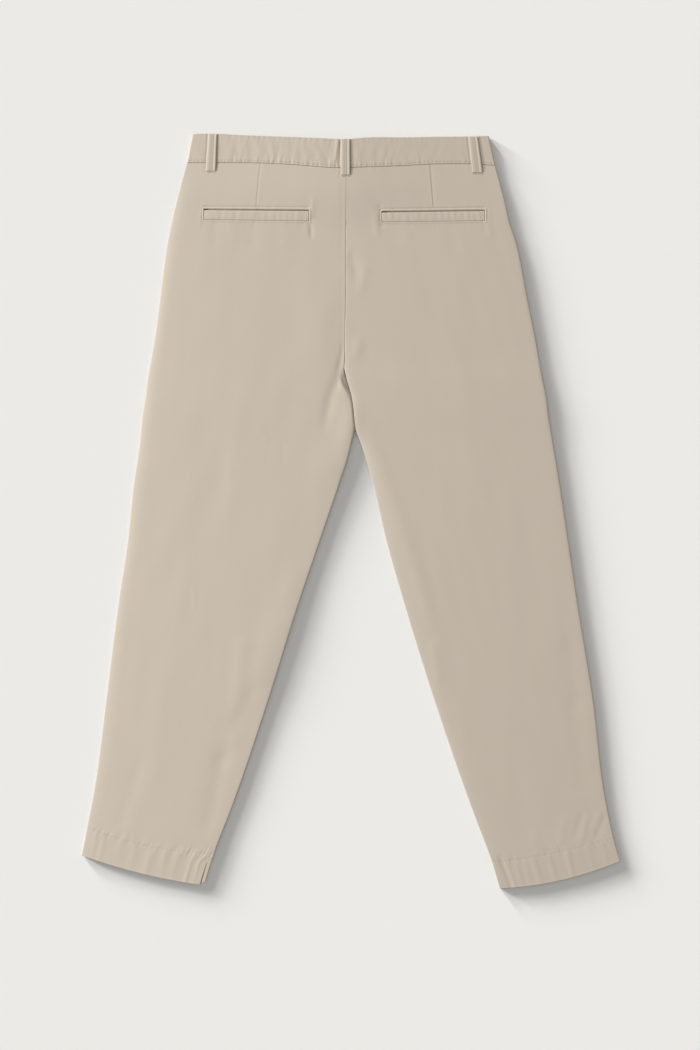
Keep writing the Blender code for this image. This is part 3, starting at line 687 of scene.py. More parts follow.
# --------------------------------------------------------------------- making pieces


def finish_mesh(name: str, bm: bmesh.types.BMesh, material: Material) -> Object:
    """Turn a bmesh into a piece that rides on the garment.

    Args:
        name: Name of the piece.
        bm: Its shape in the frame, in metres. It is freed.
        material: Its finish.

    Returns:
        The piece.
    """
    mesh = bpy.data.meshes.new(name)
    bm.to_mesh(mesh)
    bm.free()
    mesh.materials.append(material)
    mesh.shade_smooth()
    mesh.set_sharp_from_angle(angle=math.radians(60))
    piece = bpy.data.objects.new(name, mesh)
    bpy.context.collection.objects.link(piece)
    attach(piece, "root")
    log.info("%s: %d faces", name, len(mesh.polygons))
    return piece


class Cut(NamedTuple):
    """A sheet's name, the solid that it stands for, its flat size and how it lies."""

    name: str
    node: str
    width: float
    length: float
    held: str
    rests_on: tuple[str, ...] = ()


@dataclass
class Sheet:
    """The two sides of a piece of cloth as grids of points, rows down and columns across.

    grain is the distance across and along the threads, and openings the cells that are cut out.
    The colour field lightens edges above 0, partly wear and partly painted highlight, and
    paints shade into seams, grooves and under other pieces below 0.
    """

    cut: Cut
    inner: Array
    outer: Array
    grain: tuple[Array, Array]
    wear_and_shading: Array
    openings: Array | None = None

    def build(self, material: Material) -> Object:
        """Make a closed cloth wall from the two grids, named after its cut, and hide the solid it stands for.

        Args:
            material: Its finish.

        Returns:
            The piece.
        """
        shape = self.inner.shape[:2]
        bm = bmesh.new()
        bmesh.ops.create_grid(bm, x_segments=shape[1] - 1, y_segments=shape[0] - 1, size=1)
        across, grain = (bm.verts.layers.float_vector.new(name) for name in ("across", "grain"))
        wear_and_shading = bm.verts.layers.float.new("wear_and_shading")
        inner, outer = self.inner.reshape(-1, 3), self.outer.reshape(-1, 3)
        threads = [np.broadcast_to(part, shape).reshape(-1) * MM for part in self.grain]
        tones = np.broadcast_to(self.wear_and_shading, shape).reshape(-1)
        for index, vert in enumerate(bm.verts):
            vert.co = inner[index]
            vert[across] = Vector(outer[index] - inner[index])
            vert[grain] = Vector((threads[0][index], threads[1][index], 0))
            vert[wear_and_shading] = tones[index]
        if self.openings is not None:
            gone = [face for face, is_open in zip(bm.faces, self.openings.flat) if is_open]
            bmesh.ops.delete(bm, geom=gone, context="FACES")
        extruded = bmesh.ops.extrude_face_region(bm, geom=bm.faces[:], use_keep_orig=True)
        for item in extruded["geom"]:
            if isinstance(item, bmesh.types.BMVert):
                item.co = item.co + item[across]
        bmesh.ops.recalc_face_normals(bm, faces=bm.faces)
        bm.verts.layers.float_vector.remove(across)
        cut = self.cut
        piece = finish_mesh(cut.name, bm, material)
        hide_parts(cut.node)
        return piece


# ------------------------------------------------------------------------ back panels


class Loop(NamedTuple):
    """A belt loop on the back: the middle and the width of its top and of its foot."""

    name: str
    top_x: float
    top_drop: float
    top_width: float
    foot_x: float
    foot_drop: float
    foot_width: float


BACK_LOOPS = (
    Loop("back_left", -182.8, 0.7, 12.2, -185.6, 51.8, 13.2),
    Loop("back_centre", 0.7, 8.2, 12.6, 0.7, 57.8, 12.6),
    Loop("back_right", 177.2, 4.4, 13.0, 183.2, 54.0, 14.0),
)

# Each loop's stitched ends pull a dent into the cloth beside it: side, distance and depth.
LOOP_DENTS = straight(*(
    (
        loop.top_x + side * (loop.top_width / 2 + out),
        loop.top_drop,
        loop.foot_x + side * (loop.foot_width / 2 + out),
        loop.foot_drop,
        1.2,
        -depth,
    )
    for loop in BACK_LOOPS
    for side, out, depth in ((-1, 1.1, 0.6), (1, 0.6, 0.25))
))

# x and drop of both ends, width and height of each straight crease of the panels: the
# darts and the seat, then round the pockets, then down the legs.
STRAIGHT_CREASES = straight(
    (-116.6, 40, -122.7, 100.5, 0.9, -0.3), (-119, 40, -125.1, 98, 1.6, 0.08),
    (117.9, 42, 122.7, 102.5, 0.9, -0.34), (115.6, 42, 120.4, 100, 1.6, 0.16),
    (119.6, 42, 124.4, 100, 2.2, -0.14), (-4.6, 70, -5.4, 250, 1.6, -0.07),
    (27.7, 188, 22.2, 216, 7, 0.4), (18, 291, 17, 303, 7, 0.6), (31, 303, 28, 312, 9, -0.15),

    (-180, 126, -180, 150, 7, -0.22), (-156.5, 126, -154, 148, 6, 0.22), (-130, 126, -128, 152, 8, -0.22),
    (-84.5, 126, -82, 148, 8, 0.22), (-48.5, 121, -47, 140, 3.5, -0.6), (-52.5, 126, -51, 142, 3, 0.35),
    (-44, 92, -46, 112, 3.5, 0.3), (48, 103, 51, 127, 3.5, -0.6), (44, 112, 44, 138, 5, 0.35),
    (84, 128, 86, 150, 8, 0.22), (152, 128, 152, 152, 8, -0.2), (198, 112, 201, 140, 5, 0.3),

    (-88, 432, -86, 452, 3, -0.2), (-117, 404, -108, 424, 4, 0.18), (-160, 450, -158, 470, 4, 0.15),
    (-209, 632, -208, 656, 3, 0.18), (-142.7, 709, -155.9, 839, 12, 0.55),
    (-128, 771, -151, 812, 11, -0.3), (-151, 812, -171, 868, 12, -0.5), (-171, 868, -188, 955, 11, -0.5),
    (-231, 640, -262, 880, 16, 0.25), (-286, 880, -308, 952, 10, -0.3), (122, 712, 130, 752, 8, 0.5),
    (160, 800, 168, 830, 10, 0.2), (311.6, 715, 322.7, 784, 13, -0.5), (318, 790, 326, 900, 12, -0.35),
    (359.5, 947, 348, 972, 4.5, -0.35), (352.5, 941, 344, 962, 4, 0.22), (327, 947, 320, 970, 5, -0.3),
    (333.5, 947, 328.5, 974, 4.5, 0.28), (304, 950, 298, 978, 6, 0.25), (262, 970, 264, 996, 6, 0.2),
)

BENT_CREASES = (
    Crease(6.5, ((6.9, 160, 0), (10, 172, -0.7), (15, 195, -0.6), (18, 212, 0))),
    Crease(3.2, ((-3, 240, 0), (-3.2, 292, -0.3), (-4.7, 305, -0.45), (-8.2, 321, -0.5), (-12, 332, 0))),
    Crease(6.5, (
        (-4, 268, 0), (-3.6, 312, -0.5), (-9, 338, -1.2), (-19, 362, -1.25), (-25, 386, -1),
        (-29, 418, 0),
    )),
    Crease(5, ((-5.5, 328, 0.2), (-3.5, 345, 0.7), (2, 362, 0.5))),
    Crease(15, ((-1, 362, 0.1), (6, 380, 1.2), (8, 396, 1.8), (5, 420, 1.6), (-6, 450, 0.4))),
    Crease(24, ((-40, 190, 0), (-36, 240, 0.7), (-36, 300, 1.1), (-44, 350, 0.2))),
    Crease(11, ((34.6, 413, 0.3), (60, 490, 0.6), (83, 560, 0.6), (112, 655, 0.7), (122, 700, 0))),
    Crease(24, ((-12, 430, 0.6), (-22, 462, 1.3), (-34, 500, 0.6), (-48, 550, 0))),
    Crease(22, ((-64, 590, 0), (-77, 630, 0.8), (-87, 675, 1.1), (-114, 745, 1.2), (-134, 790, 0.1))),
    Crease(24, ((-196, 380, 0), (-176, 480, -0.45), (-196, 560, -0.35), (-205, 640, 0))),
    Crease(16, ((-120, 210, 0), (-128, 300, 0.35), (-150, 420, 0.3), (-160, 520, 0))),
    Crease(18, ((150, 230, 0), (160, 330, 0.35), (176, 450, 0.3), (186, 560, 0))),
    Crease(20, ((238, 420, 0), (252, 520, -0.3), (262, 640, -0.3), (270, 720, 0))),
    Crease(3.2, ((213, 998, 0), (216.2, 1006, -0.6), (228.6, 1037, -0.9), (231, 1045, -0.7))),
)

# Ripples across each hem: share of its width from the outer side, width and height.
HEM_RIPPLES = {
    Side.LEFT: (
        (0.078, 3.5, 0.28), (0.143, 3.5, 0.26), (0.27, 6, 0.14), (0.388, 5, 0.34), (0.519, 5, 0.34),
        (0.625, 4, 0.32), (0.726, 4.5, 0.36), (0.853, 3.5, 0.4), (0.929, 2.5, 0.3),
    ),
    Side.RIGHT: (
        (0.1, 4, 0.2), (0.22, 4, 0.2), (0.385, 3, 0.5), (0.535, 3.5, 0.45), (0.665, 4, 0.35),
        (0.735, 3, 0.3), (0.81, 3.5, 0.3), (0.885, 3, 0.2),
    ),
}


class Spots:
    """Points on a back panel, with their distances from its edges, seams and pocket.

    x and drop say where they lie, and ledge how far the panel reaches past the leg's
    outline there. left_end and right_end go to 1 past that end of the pocket opening.
    """

    def __init__(self, leg: Leg, level: Array, share: Array) -> None:
        """Measure the points.

        Args:
            leg: The panel's leg.
            level: Level down the leg.
            share: Share of the way from the outer to the inner edge.
        """
        self.level, self.share = np.broadcast_arrays(level, share)
        self.width = leg.width(self.level)
        self.from_outer, self.from_inner = self.share * self.width, (1 - self.share) * self.width
        self.from_stitch, self.from_hem = self.level - leg.at("hem_stitch"), leg.at("hem") - self.level
        self.shift = leg.shift(self.level)
        self.ledge = np.maximum(self.shift, 0)
        taken_up = self.shift / self.width * hill(self.from_inner, 0, SHIFT_REACH)
        self.x, self.drop = leg.point(self.level, self.share + taken_up)
        start, end = leg.opening(self.level)
        outer, inner = (start - self.share) * self.width, (self.share - end) * self.width
        past = np.maximum(leg.at("pocket_mouth") - self.level, self.level - leg.at("pocket_foot"))
        beside = np.maximum(outer, inner)
        self.from_pocket = np.hypot(np.maximum(beside, 0), np.maximum(past, 0))
        left, right = (outer, inner) if leg.side is Side.LEFT else (inner, outer)
        self.left_end, self.right_end = ease(left / 1.5), ease(right / 1.5)


@dataclass(frozen=True)
class BackPanel:
    """A back panel, with its dart, welt pocket opening, seam allowances and hem."""

    leg: Leg
    outer_roll: float              # over how much width the side edge rises to full height
    inner_soft: float              # share of the fall at the inner edge that is gradual
    outer_fill: float              # share of the fall that the seam allowances fill out
    inner_fill: float
    split_top: float = 10.0        # how far below the hem's stitching its slit starts
    tight_roll: float = 1.0
    most_slack: float = 4.8        # most air between front and back
    seam_band: float = 13.0        # width of the pressed seam allowance inside a side seam
    seam_band_rise: float = 0.07
    edge_round: float = 1.1
    frame_ridge: float = 0.26      # stitched border of the pocket opening
    frame_middle: float = 1.4
    frame_stitch: float = 3.2
    frame_dent: float = 0.42
    frame_nearer: float = 1.0      # how much nearer the stitching is at the left end
    lip: float = 0.4               # how far the opening's edge rounds off
    seam_groove: float = 0.16
    seam_fade: tuple[float, float] = (282, 22)   # where the groove starts to fade, and how fast
    seam_past: float = 4.0         # how far the seam stays closed below the fork
    seam_ridge: float = 0.10
    hem_step: float = 0.12
    hem_stitch_dent: float = 0.08

    def levels(self) -> Array:
        """Give the levels of the rows, close together at the pocket and the hem.

        Returns:
            The levels, from the waist to the hem.
        """
        names = ("waist", "pocket_mouth", "pocket_foot", "hem_stitch", "hem")
        waist, mouth, foot, stitch, hem = (self.leg.at(name) for name in names)
        return spread(
            (waist, waist + 1.2, 0.3),
            (waist + 1.2, mouth - 6, 2.6),
            (mouth - 6, mouth, 0.6),
            (mouth, foot, 1.7),
            (foot, foot + 6, 0.6),
            (foot + 6, stitch - 9, 3.2),
            (stitch - 9, stitch + 9, 0.9),
            (stitch + 9, hem - 1.5, 2.2),
            (hem - 1.5, hem, 0.3),
        )

    def shares(self, level: Array) -> Array:
        """Share the width out among the columns, close together at the edges and pocket.

        Args:
            level: Level of each row.

        Returns:
            The shares of the width, a row for each level.
        """
        width, pocket = self.leg.width(level), self.leg.pocket
        start, end = self.leg.at("waist"), self.leg.at("pocket_mouth")
        down = np.clip((level - start) / (end - start), 0, 1)
        dart = pocket.dart_at_waist + (pocket.dart_at_pocket - pocket.dart_at_waist) * down
        opening, last = self.leg.opening(level), np.ones_like(level)
        # Each stop has the number of columns that lead up to it.
        stops = (
            (1.2 / width, 5),
            (opening[0] - 6 / width, 14),
            (opening[0], 9),
            (dart - 4 / width, 22),
            (dart + 4 / width, 10),
            (opening[1], 24),
            (opening[1] + 6 / width, 9),
            (last - 15 / width, 12),
            (last - 1.2 / width, 18),
            (last, 5),
        )
        before, columns = 0 * last, [0 * last]
        for after, count in stops:
            columns += [before + (after - before) * step / count for step in range(1, count + 1)]
            before = after
        return np.stack(columns, axis=1)

    def puckers(self, at: Spots) -> Array:
        """Add up the small puckers along the seams, the pocket and the hem.

        Args:
            at: The points.

        Returns:
            The lift at each point.
        """
        seed = 10 if self.leg.side is Side.LEFT else 20
        from_waist = at.drop - waist_foot(at.x)
        # Each row has what gathers takes: seed, length, pitch, height, reach and distances.
        rows = (
            (seed, 240, 7, 0.1, 6, at.from_outer, from_waist),
            (seed + 1, 200, 3, 0.3, 5, at.from_outer + 0.4 * at.from_stitch, at.from_stitch),
            (seed + 2, 200, 8, 0.2, 7, at.from_outer + 0.3 * at.from_stitch, at.from_stitch),
            (seed + 3, 240, 8, 0.13, 7, at.from_outer, at.from_pocket),
            (seed + 6, 240, 4.2, 0.1, 11, at.from_outer, at.from_pocket),
            (seed + 4, 1040, 16, 0.1, 7, at.level, at.from_inner),
            (seed + 5, 1040, 19, 0.1, 8, at.level, at.from_outer),
        )
        return np.clip(sum(gathers(*row) for row in rows), -0.2, 0.5)

    def folds(self, at: Spots) -> Array:
        """Add up the creases, ripples, puckers and unevenness of the panel.

        Args:
            at: The points.

        Returns:
            The lift at each point.
        """
        creases = (*STRAIGHT_CREASES, *BENT_CREASES, *LOOP_DENTS)
        total = sum(crease.rise(at.x, at.drop) for crease in creases)
        along_hem = ease((at.from_stitch + 5) / 9)
        for number, (middle, width, height) in enumerate(HEM_RIPPLES[self.leg.side]):
            # Each ripple runs a little aslant, and two of three fade towards the foot.
            lean = 0.05 * math.sin(2.1 * number) * at.from_stitch
            fading = 1 - 0.55 * ease((at.from_stitch - 12) / 24) * (number % 3 != 1)
            away = (at.share - middle) * at.width + lean
            total += height * bell(away, width) * along_hem * fading
        seed = 31 if self.leg.side is Side.LEFT else 37
        return total + self.puckers(at) + drift(seed, at.from_outer, at.level)

    def slack(self, at: Spots) -> tuple[Array, Array]:
        """Give the air between front and back, with every fold in it.

        Args:
            at: The points.

        Returns:
            The rise of the panel's inner side, and that of its outer side, which the
            seam allowances inside an edge hold up.
        """
        from_inner, folds = np.maximum(at.from_inner - at.ledge, 0), self.folds(at)
        outer_fall = np.exp(-at.from_outer / self.outer_roll)
        tight = np.exp(-from_inner / self.tight_roll)
        soft = np.exp(-from_inner / self.leg.read(at.level, "roll"))
        inner_fall = self.inner_soft * soft + (1 - self.inner_soft) * tight
        inner_fall = self.leg.read(at.level, "fall") * inner_fall
        band = self.seam_band_rise * (1 - ease((at.from_outer - self.seam_band) / 9))
        is_ledge = np.minimum(at.ledge / 2, 1)
        in_leg = ease((at.level - self.leg.at("parting")) / 25)
        found = []
        for outer_fill, inner_fill in ((0, 0), (self.outer_fill, self.inner_fill)):
            outer_rise = 1 - outer_fall * (1 - outer_fill)
            inner_rise = 1 - inner_fall * (1 - inner_fill * in_leg)
            slack = outer_rise * (self.leg.read(at.level, "loft") * inner_rise + band)
            slack += folds * outer_rise * (1 - is_ledge * tight)
            # The cloth comes softly to rest where there is no air.
            found.append(np.minimum(0.5 * (slack + np.sqrt(slack ** 2 + 0.03)), self.most_slack))
        return found[0], found[1]

    def heights(self, at: Spots) -> tuple[Array, Array]:
        """Give how high the panel lies.

        Args:
            at: The points.

        Returns:
            The heights of the inner and the outer side.
        """
        over_waist = 1 - ease((at.drop - waist_foot(at.x) - FRONT_DIP - 4) / WAIST_SLOPE)
        over_hem = ease((at.from_stitch + HEM_CLEAR) / (HEM_CLEAR + 2))
        rest = CLOTH + (HEM_CLOTH - CLOTH) * over_hem + GAP
        rest = rest + (WAIST_CLOTH - CLOTH + front_stack(at.x)) * over_waist
        low, top = self.slack(at)
        is_seat = at.level < self.leg.at("fork") + self.seam_past
        in_seam = is_seat * (1 - ease((at.level - self.seam_fade[0]) / self.seam_fade[1]))
        # Beside the hem's slit the edge is square, and above the slit it meets the strip.
        square = (0.3 + 2 * (1 - ease((at.from_stitch - self.split_top) / 4))) * (at.shift < 0)
        edge = np.minimum(at.from_outer, np.where(is_seat, at.width, at.from_inner + square))
        from_waist = (at.level - self.leg.at("waist")) * 2 + 0.5
        edge = rounding(np.minimum(edge, np.minimum(at.from_hem, from_waist)), self.edge_round)
        thick = (CLOTH + self.hem_step * ease(at.from_stitch / 2)) * (0.45 + 0.55 * edge)
        thick -= self.seam_groove * in_seam * (1 - rounding(at.from_inner, EDGE_SOFT))
        thick += self.seam_ridge * in_seam * bell(at.from_inner - 1.7, 1.2)
        thick -= self.lip * (1 - rounding(at.from_pocket + 0.1, EDGE_SOFT))
        thick += self.frame_ridge * bell(at.from_pocket - self.frame_middle, 1) * (1 + at.right_end)
        below = ease((at.level - self.leg.at("pocket_foot")) / 1.5)
        stitched = self.frame_stitch - 0.7 * below - self.frame_nearer * at.left_end
        dent = self.frame_dent * (1 - 0.95 * at.right_end - 0.35 * below)
        thick -= dent * bell(at.from_pocket - stitched, 1) + self.hem_stitch_dent * bell(at.from_stitch, 1)
        return rest + low, rest + top + np.maximum(thick, 0.3)

    def surface(self, level: Array, share: Array) -> tuple[Array, Array, Array, Array]:
        """Give x, drop, and the heights of the inner and the outer side."""
        at = Spots(self.leg, level, share)
        return at.x, at.drop, *self.heights(at)

    def wear_and_shading(self, at: Spots) -> Array:
        """Give the painted shade in stitching, under the other leg and at the edges, and the lighter
        ridges and hem fold, which are partly wear and partly painted highlight.

        Args:
            at: The points.

        Returns:
            The colour change at each point.
        """
        stitched = self.frame_stitch - self.frame_nearer * at.left_end
        # Lighter on the pocket frame's ridge, partly wear and partly painted highlight; painted shade in the
        # stitched dent beside it.
        wear_and_shading = 0.25 * bell(at.from_pocket - self.frame_middle, 1.2)
        wear_and_shading -= 0.5 * bell(at.from_pocket - stitched, 0.6) * (1 - at.right_end)
        # Lighter along the hem's fold, partly wear and partly painted highlight; painted shade along the
        # hem's stitching.
        wear_and_shading += 0.5 * bell(at.from_hem, 1.6) - 0.25 * bell(at.from_stitch, 1.4)
        # Painted shade: the ledge beside the fork is made darkest where it goes under the other leg.
        under = np.clip((at.ledge - at.from_inner) / np.maximum(at.ledge, 0.1), 0, 1)
        wear_and_shading -= (0.8 + 4.2 * under) * np.minimum(at.ledge / 1.5, 1) * ease(under * 6)
        # Painted shade right at the panel's edges.
        return wear_and_shading - 0.08 * bell(np.minimum(at.from_outer, at.from_inner), 0.5)

    def sheet(self) -> Sheet:
        """Lay the panel out, with its pocket opening.

        Returns:
            The panel's cloth.
        """
        leg, side, levels = self.leg, self.leg.side.value, self.levels()
        share = self.shares(levels)
        at = Spots(leg, levels[:, None], share)
        low, high = self.heights(at)
        middles = (levels[:-1] + levels[1:]) / 2
        in_rows = (middles > leg.at("pocket_mouth")) & (middles < leg.at("pocket_foot"))
        row = int(np.argmax(in_rows))
        across = (share[row, :-1] + share[row, 1:] + share[row + 1, :-1] + share[row + 1, 1:]) / 4
        start, end = leg.opening(middles[row])
        openings = in_rows[:, None] & (across > start) & (across < end)
        cut = Cut(f"back_panel_{side}", f"back_{side}", 300, 1010, "laid", (f"front_{side}",))
        inner, outer = place(at.x, at.drop, low), place(at.x, at.drop, high)
        return Sheet(cut, inner, outer, ((share - 0.5) * at.width, at.level), self.wear_and_shading(at), openings)


@dataclass(frozen=True)
class Welt:
    """The stitched strip that fills a back pocket's opening, below its open mouth."""

    panel: BackPanel
    crown: float = 0.25
    tuck: float = 0.5
    mouth: float = 1.9
    corner: float = 1.4
    gap: float = 0.25

    def sheet(self) -> Sheet:
        """Lay the welt out, on points of its panel.

        Returns:
            The welt's cloth.
        """
        leg = self.panel.leg
        width = float(leg.width(leg.at("pocket_mouth")))
        top, foot = leg.at("pocket_mouth") + self.mouth, leg.at("pocket_foot") - self.gap
        down = spread((0, 0.12, 0.03), (0.12, 0.88, 0.07), (0.88, 1, 0.03))[:, None]
        across = spread((0, 0.02, 0.004), (0.02, 0.98, 0.012), (0.98, 1, 0.004))
        level = top + (foot - top) * down
        start, end = leg.opening(level)
        start, end = start + self.gap / width, end - self.gap / width
        # Its corners are round, so its ends are drawn in at the top and the foot.
        past = np.clip(1 - np.minimum(level - top, foot - level) / self.corner, 0, 1)
        drawn_in = self.corner * (1 - np.sqrt(1 - past ** 2)) / width
        middle, share = (start + end) / 2, start + (end - start) * across
        share = middle + (share - middle) * (1 - 2 * drawn_in / (end - start))
        x, drop, low, _ = self.panel.surface(level, share)
        sewn = np.minimum(foot - level, np.minimum(share - start, end - share) * width)
        seed = 41 if leg.side is Side.LEFT else 43
        rise = self.crown * np.sin(np.pi * down) ** 0.5
        rise = rise + gathers(seed, 160, 5, 0.13, 30, (share - start) * width, level - top)
        high = low + CLOTH - 0.2 + rise - 0.45 * (1 - rounding(level - top, 1.2))
        high = high - 0.42 * (1 - rounding(sewn, EDGE_SOFT)) - 0.12 * bell(foot - 2.2 - level, 0.6)
        # Lighter just below the welt's top edge, partly wear and partly painted highlight; painted shade
        # along its sewn edges.
        wear_and_shading = 0.3 * bell(level - top - 0.6, 0.8) - bell(sewn, 0.7)
        side = leg.side.value
        cut = Cut(f"pocket_welt_{side}", f"welt_{side}", 149, 15, "folded", (f"back_panel_{side}",))
        inner, outer = place(x, drop, low - self.tuck), place(x, drop, high)
        return Sheet(cut, inner, outer, (level, share * width), wear_and_shading)


# -------------------------------------------------------------------------- waistband

# Ripples across the waistband: x, width and height.
WAIST_RIPPLES = (
    (-206, 5, 0.1), (-155, 4, 0.2), (-145, 3.5, 0.18), (-137.5, 3.5, 0.22), (-123, 5, 0.25),
    (-113, 4, 0.22), (-100.5, 5, 0.28), (-87, 4, 0.22), (-79.5, 3.5, 0.2), (-67.5, 4, 0.26),
    (-57.5, 4, 0.24), (-46.5, 5, 0.3), (-32.5, 4.5, 0.26), (-22, 3.5, 0.24), (14.5, 4, 0.24),
    (27.5, 4.5, 0.22), (38, 4, 0.16), (50.5, 5, 0.2), (63, 5, 0.16), (92, 8, 0.12), (140, 9, 0.1),
)

# How strong the band's puckers are, at places across the back.
WAIST_PUCKERS = (
    (-215, 0.45), (-172, 0.5), (-160, 1.25), (-8, 1.25), (8, 1), (65, 0.85), (110, 0.6), (205, 0.5),
)

WAIST_CREASES = straight(
    (-9.5, 9, -14, 38, 2.6, 0.65), (-6.6, 14, -8.5, 42, 2, -0.45), (-20, 12, -24, 40, 3, -0.25),
)


@dataclass(frozen=True)
class Waistband:
    """One half of the waistband, folded round the side from centre back to the fly."""

    leg: Leg
    slant: float                   # how much wider the band is at its foot
    stitch_up: float = 2.4         # the edge stitch lies this far above the foot
    edge_round: float = 1.0
    calm: float = 8.0              # over what width the ripples die out before the side

    def back_low(self, x: Array) -> Array:
        """Give the underside of the band across the back."""
        return WAIST_CLOTH + GAP + front_stack(x)

    def back_rise(self, x: Array, drop: Array, down: Array) -> Array:
        """Add up the ripples and puckers of the band across the back.

        Args:
            x: Distance from the centre back seam.
            drop: Distance from the top of the waist.
            down: Share of the band's depth.

        Returns:
            The lift at each point.
        """
        rise = sum(height * bell(x - at, width) for at, width, height in WAIST_RIPPLES)
        rise = rise * (0.12 + 0.22 * np.sin(np.pi * np.clip(down * 0.9 + 0.1, 0, 1)))
        rise += sum(crease.rise(x, drop) for crease in (*WAIST_CREASES, *LOOP_DENTS))
        from_stitch, from_top = waist_foot(x) - self.stitch_up - drop, drop - waist_top(x) - 1
        seed = 51 if self.leg.side is Side.LEFT else 57
        out = np.abs(x)
        # Each row has what gathers takes: seed, length, pitch, height, reach and distances.
        rows = [
            (seed, 240, 3, 0.24, 3.6, out, from_stitch),
            (seed + 1, 240, 6.5, 0.2, 8, out + 0.2 * from_stitch, from_stitch),
            (seed + 7, 240, 1.6, 0.11, 3, out, from_stitch - 0.6),
            (seed + 2, 240, 4, 0.14, 7, out - 0.25 * from_top, from_top),
            (seed + 8, 240, 2, 0.1, 2, out, from_top),
        ]
        for number, lean in enumerate((-0.32, 0.16, 0.45)):
            row = (seed + 3 + number, 260, 9, 0.13, 14, out + lean * drop, from_stitch - 8 * number - 4)
            rows.append(row)
        strong = np.interp(x, *zip(*WAIST_PUCKERS))
        return np.maximum(rise + strong * sum(gathers(*row) for row in rows), -1)

    def back_surface(self, x: Array, down: Array) -> tuple[Array, Array, Array]:
        """Find the points of the band across the back.

        Args:
            x: Distance from the centre back seam.
            down: Share of the band's depth.

        Returns:
            drop, and the heights of the inner and the outer side.
        """
        drop = band_drop(x, down)
        rise = self.back_rise(x, drop, down)
        low = self.back_low(x) + np.maximum(rise, 0)
        edge = np.minimum(down, 1 - down) * (waist_foot(x) - waist_top(x))
        edge = rounding(np.minimum(edge, np.abs(x) * 1.5), self.edge_round)
        thick = WAIST_CLOTH * (0.4 + 0.6 * edge) + np.minimum(rise, 0)
        return drop, low, low + thick - 0.35 * bell(waist_foot(x) - self.stitch_up - drop, 0.8)

    def front_low(self, x: Array) -> Array:
        """Give the underside of the band across the front, where the right half is inside.

        Args:
            x: Distance from the centre.

        Returns:
            Its height.
        """
        low = loop_lift(x) + (BUTTON_THICK + GAP) * hill(x, BUTTON_RADIUS + 1.5, 22)
        is_inside = self.leg.side is Side.RIGHT
        return low + (WAIST_CLOTH + GAP) * (1 - ease((x - FLY_OVERLAP - 2) / 25)) * is_inside

    def sheet(self) -> Sheet:
        """Lay the half band out: across the back, round the fold and across the front.

        Returns:
            The half band's cloth.
        """
        sign, side = self.leg.sign, self.leg.side.value
        radius = WAIST_CLOTH + GAP / 2
        down = spread((0, 0.03, 0.006), (0.03, 0.86, 0.045), (0.86, 0.97, 0.018), (0.97, 1, 0.006))[:, None]
        middle = abs(self.leg.stations[0].outer_x) - self.slant * (1 - down) - radius
        back_x = GAP / 2 + (middle - GAP / 2) * spread((0, 0.006, 0.0015), (0.006, 1, 0.0034))
        drop, low, high = self.back_surface(sign * back_x, down)
        level_low = self.back_low(sign * back_x)
        low = level_low + (low - level_low) * ease((middle - back_x) / self.calm)
        high = np.where(back_x > middle - self.calm, np.minimum(high, low + WAIST_CLOTH), high)

        edge = np.minimum(down, 1 - down) * WAIST_DEPTH
        thin = WAIST_CLOTH * 0.3 * (1 - rounding(edge, self.edge_round))
        angles, rounded = np.radians(np.linspace(90, -90, 13)[1:-1]), radius - thin
        inner_x, outer_x = middle + GAP / 2 * np.cos(angles), middle + rounded * np.cos(angles)
        fold_drop = band_drop(sign * middle, down)

        front_x = sign * (middle + (-FLY_OVERLAP - middle) * spread((0, 1, 0.0105)))
        front_drop = band_drop(front_x, down) + front_dip(front_x)
        front_low, up = self.front_low(front_x), (1 - down) * WAIST_DEPTH
        front_high = front_low + 2 * thin + 0.3 * bell(up - self.stitch_up, 0.8)
        inner = np.concatenate((
            place(sign * back_x, drop, low),
            place(sign * inner_x, fold_drop, radius + GAP / 2 * np.sin(angles)),
            place(front_x, front_drop, front_low + WAIST_CLOTH),
        ), axis=1)
        outer = np.concatenate((
            place(sign * back_x, drop, high),
            place(sign * outer_x, fold_drop, radius + rounded * np.sin(angles)),
            place(front_x, front_drop, front_high),
        ), axis=1)
        step = np.linalg.norm(np.diff(outer, axis=1), axis=2) / MM
        along = np.pad(np.cumsum(step, axis=1), ((0, 0), (1, 0)))
        # Lighter at the band's foot, partly wear and partly painted highlight; painted shade along the edge
        # stitch and the top edge.
        wear_and_shading = 0.25 * bell(up, 1) - 0.5 * bell(up - self.stitch_up, 0.7) - 1.1 * bell(down * WAIST_DEPTH, 0.9)
        name = f"waistband_half_{side}"
        cut = Cut(name, f"waistband_{side}", 460, 39, "folded", (f"back_panel_{side}",))
        return Sheet(cut, inner, outer, (down * WAIST_DEPTH, along), wear_and_shading)


# ------------------------------------------------------------------------- belt loops


@dataclass(frozen=True)
class Seat:
    """The whole seat side as one surface, which the belt loops and threads lie on."""

    panels: dict[Side, BackPanel]
    bands: dict[Side, Waistband]

    def top(self, x: Array, drop: Array) -> Array:
        """Find the top of the cloth, waistband or panel.

        Args:
            x: Where the points lie across.
            drop: Where they lie down the garment.

        Returns:
            The height of the cloth's outer side.
        """
        x, drop = np.broadcast_arrays(np.asarray(x, float), np.asarray(drop, float))
        down = (drop - waist_top(x)) / (waist_foot(x) - waist_top(x))
        tops = []
        for side in Side:
            band_high = self.bands[side].back_surface(x, np.clip(down, 0.03, 0.97))[2]
            level, share = self.panels[side].leg.locate(x, drop)
            panel_high = self.panels[side].surface(level, np.clip(share, 0, 1))[3]
            tops.append(np.where(down <= 1.02, band_high, panel_high))
        return np.where(x < 0, *tops)


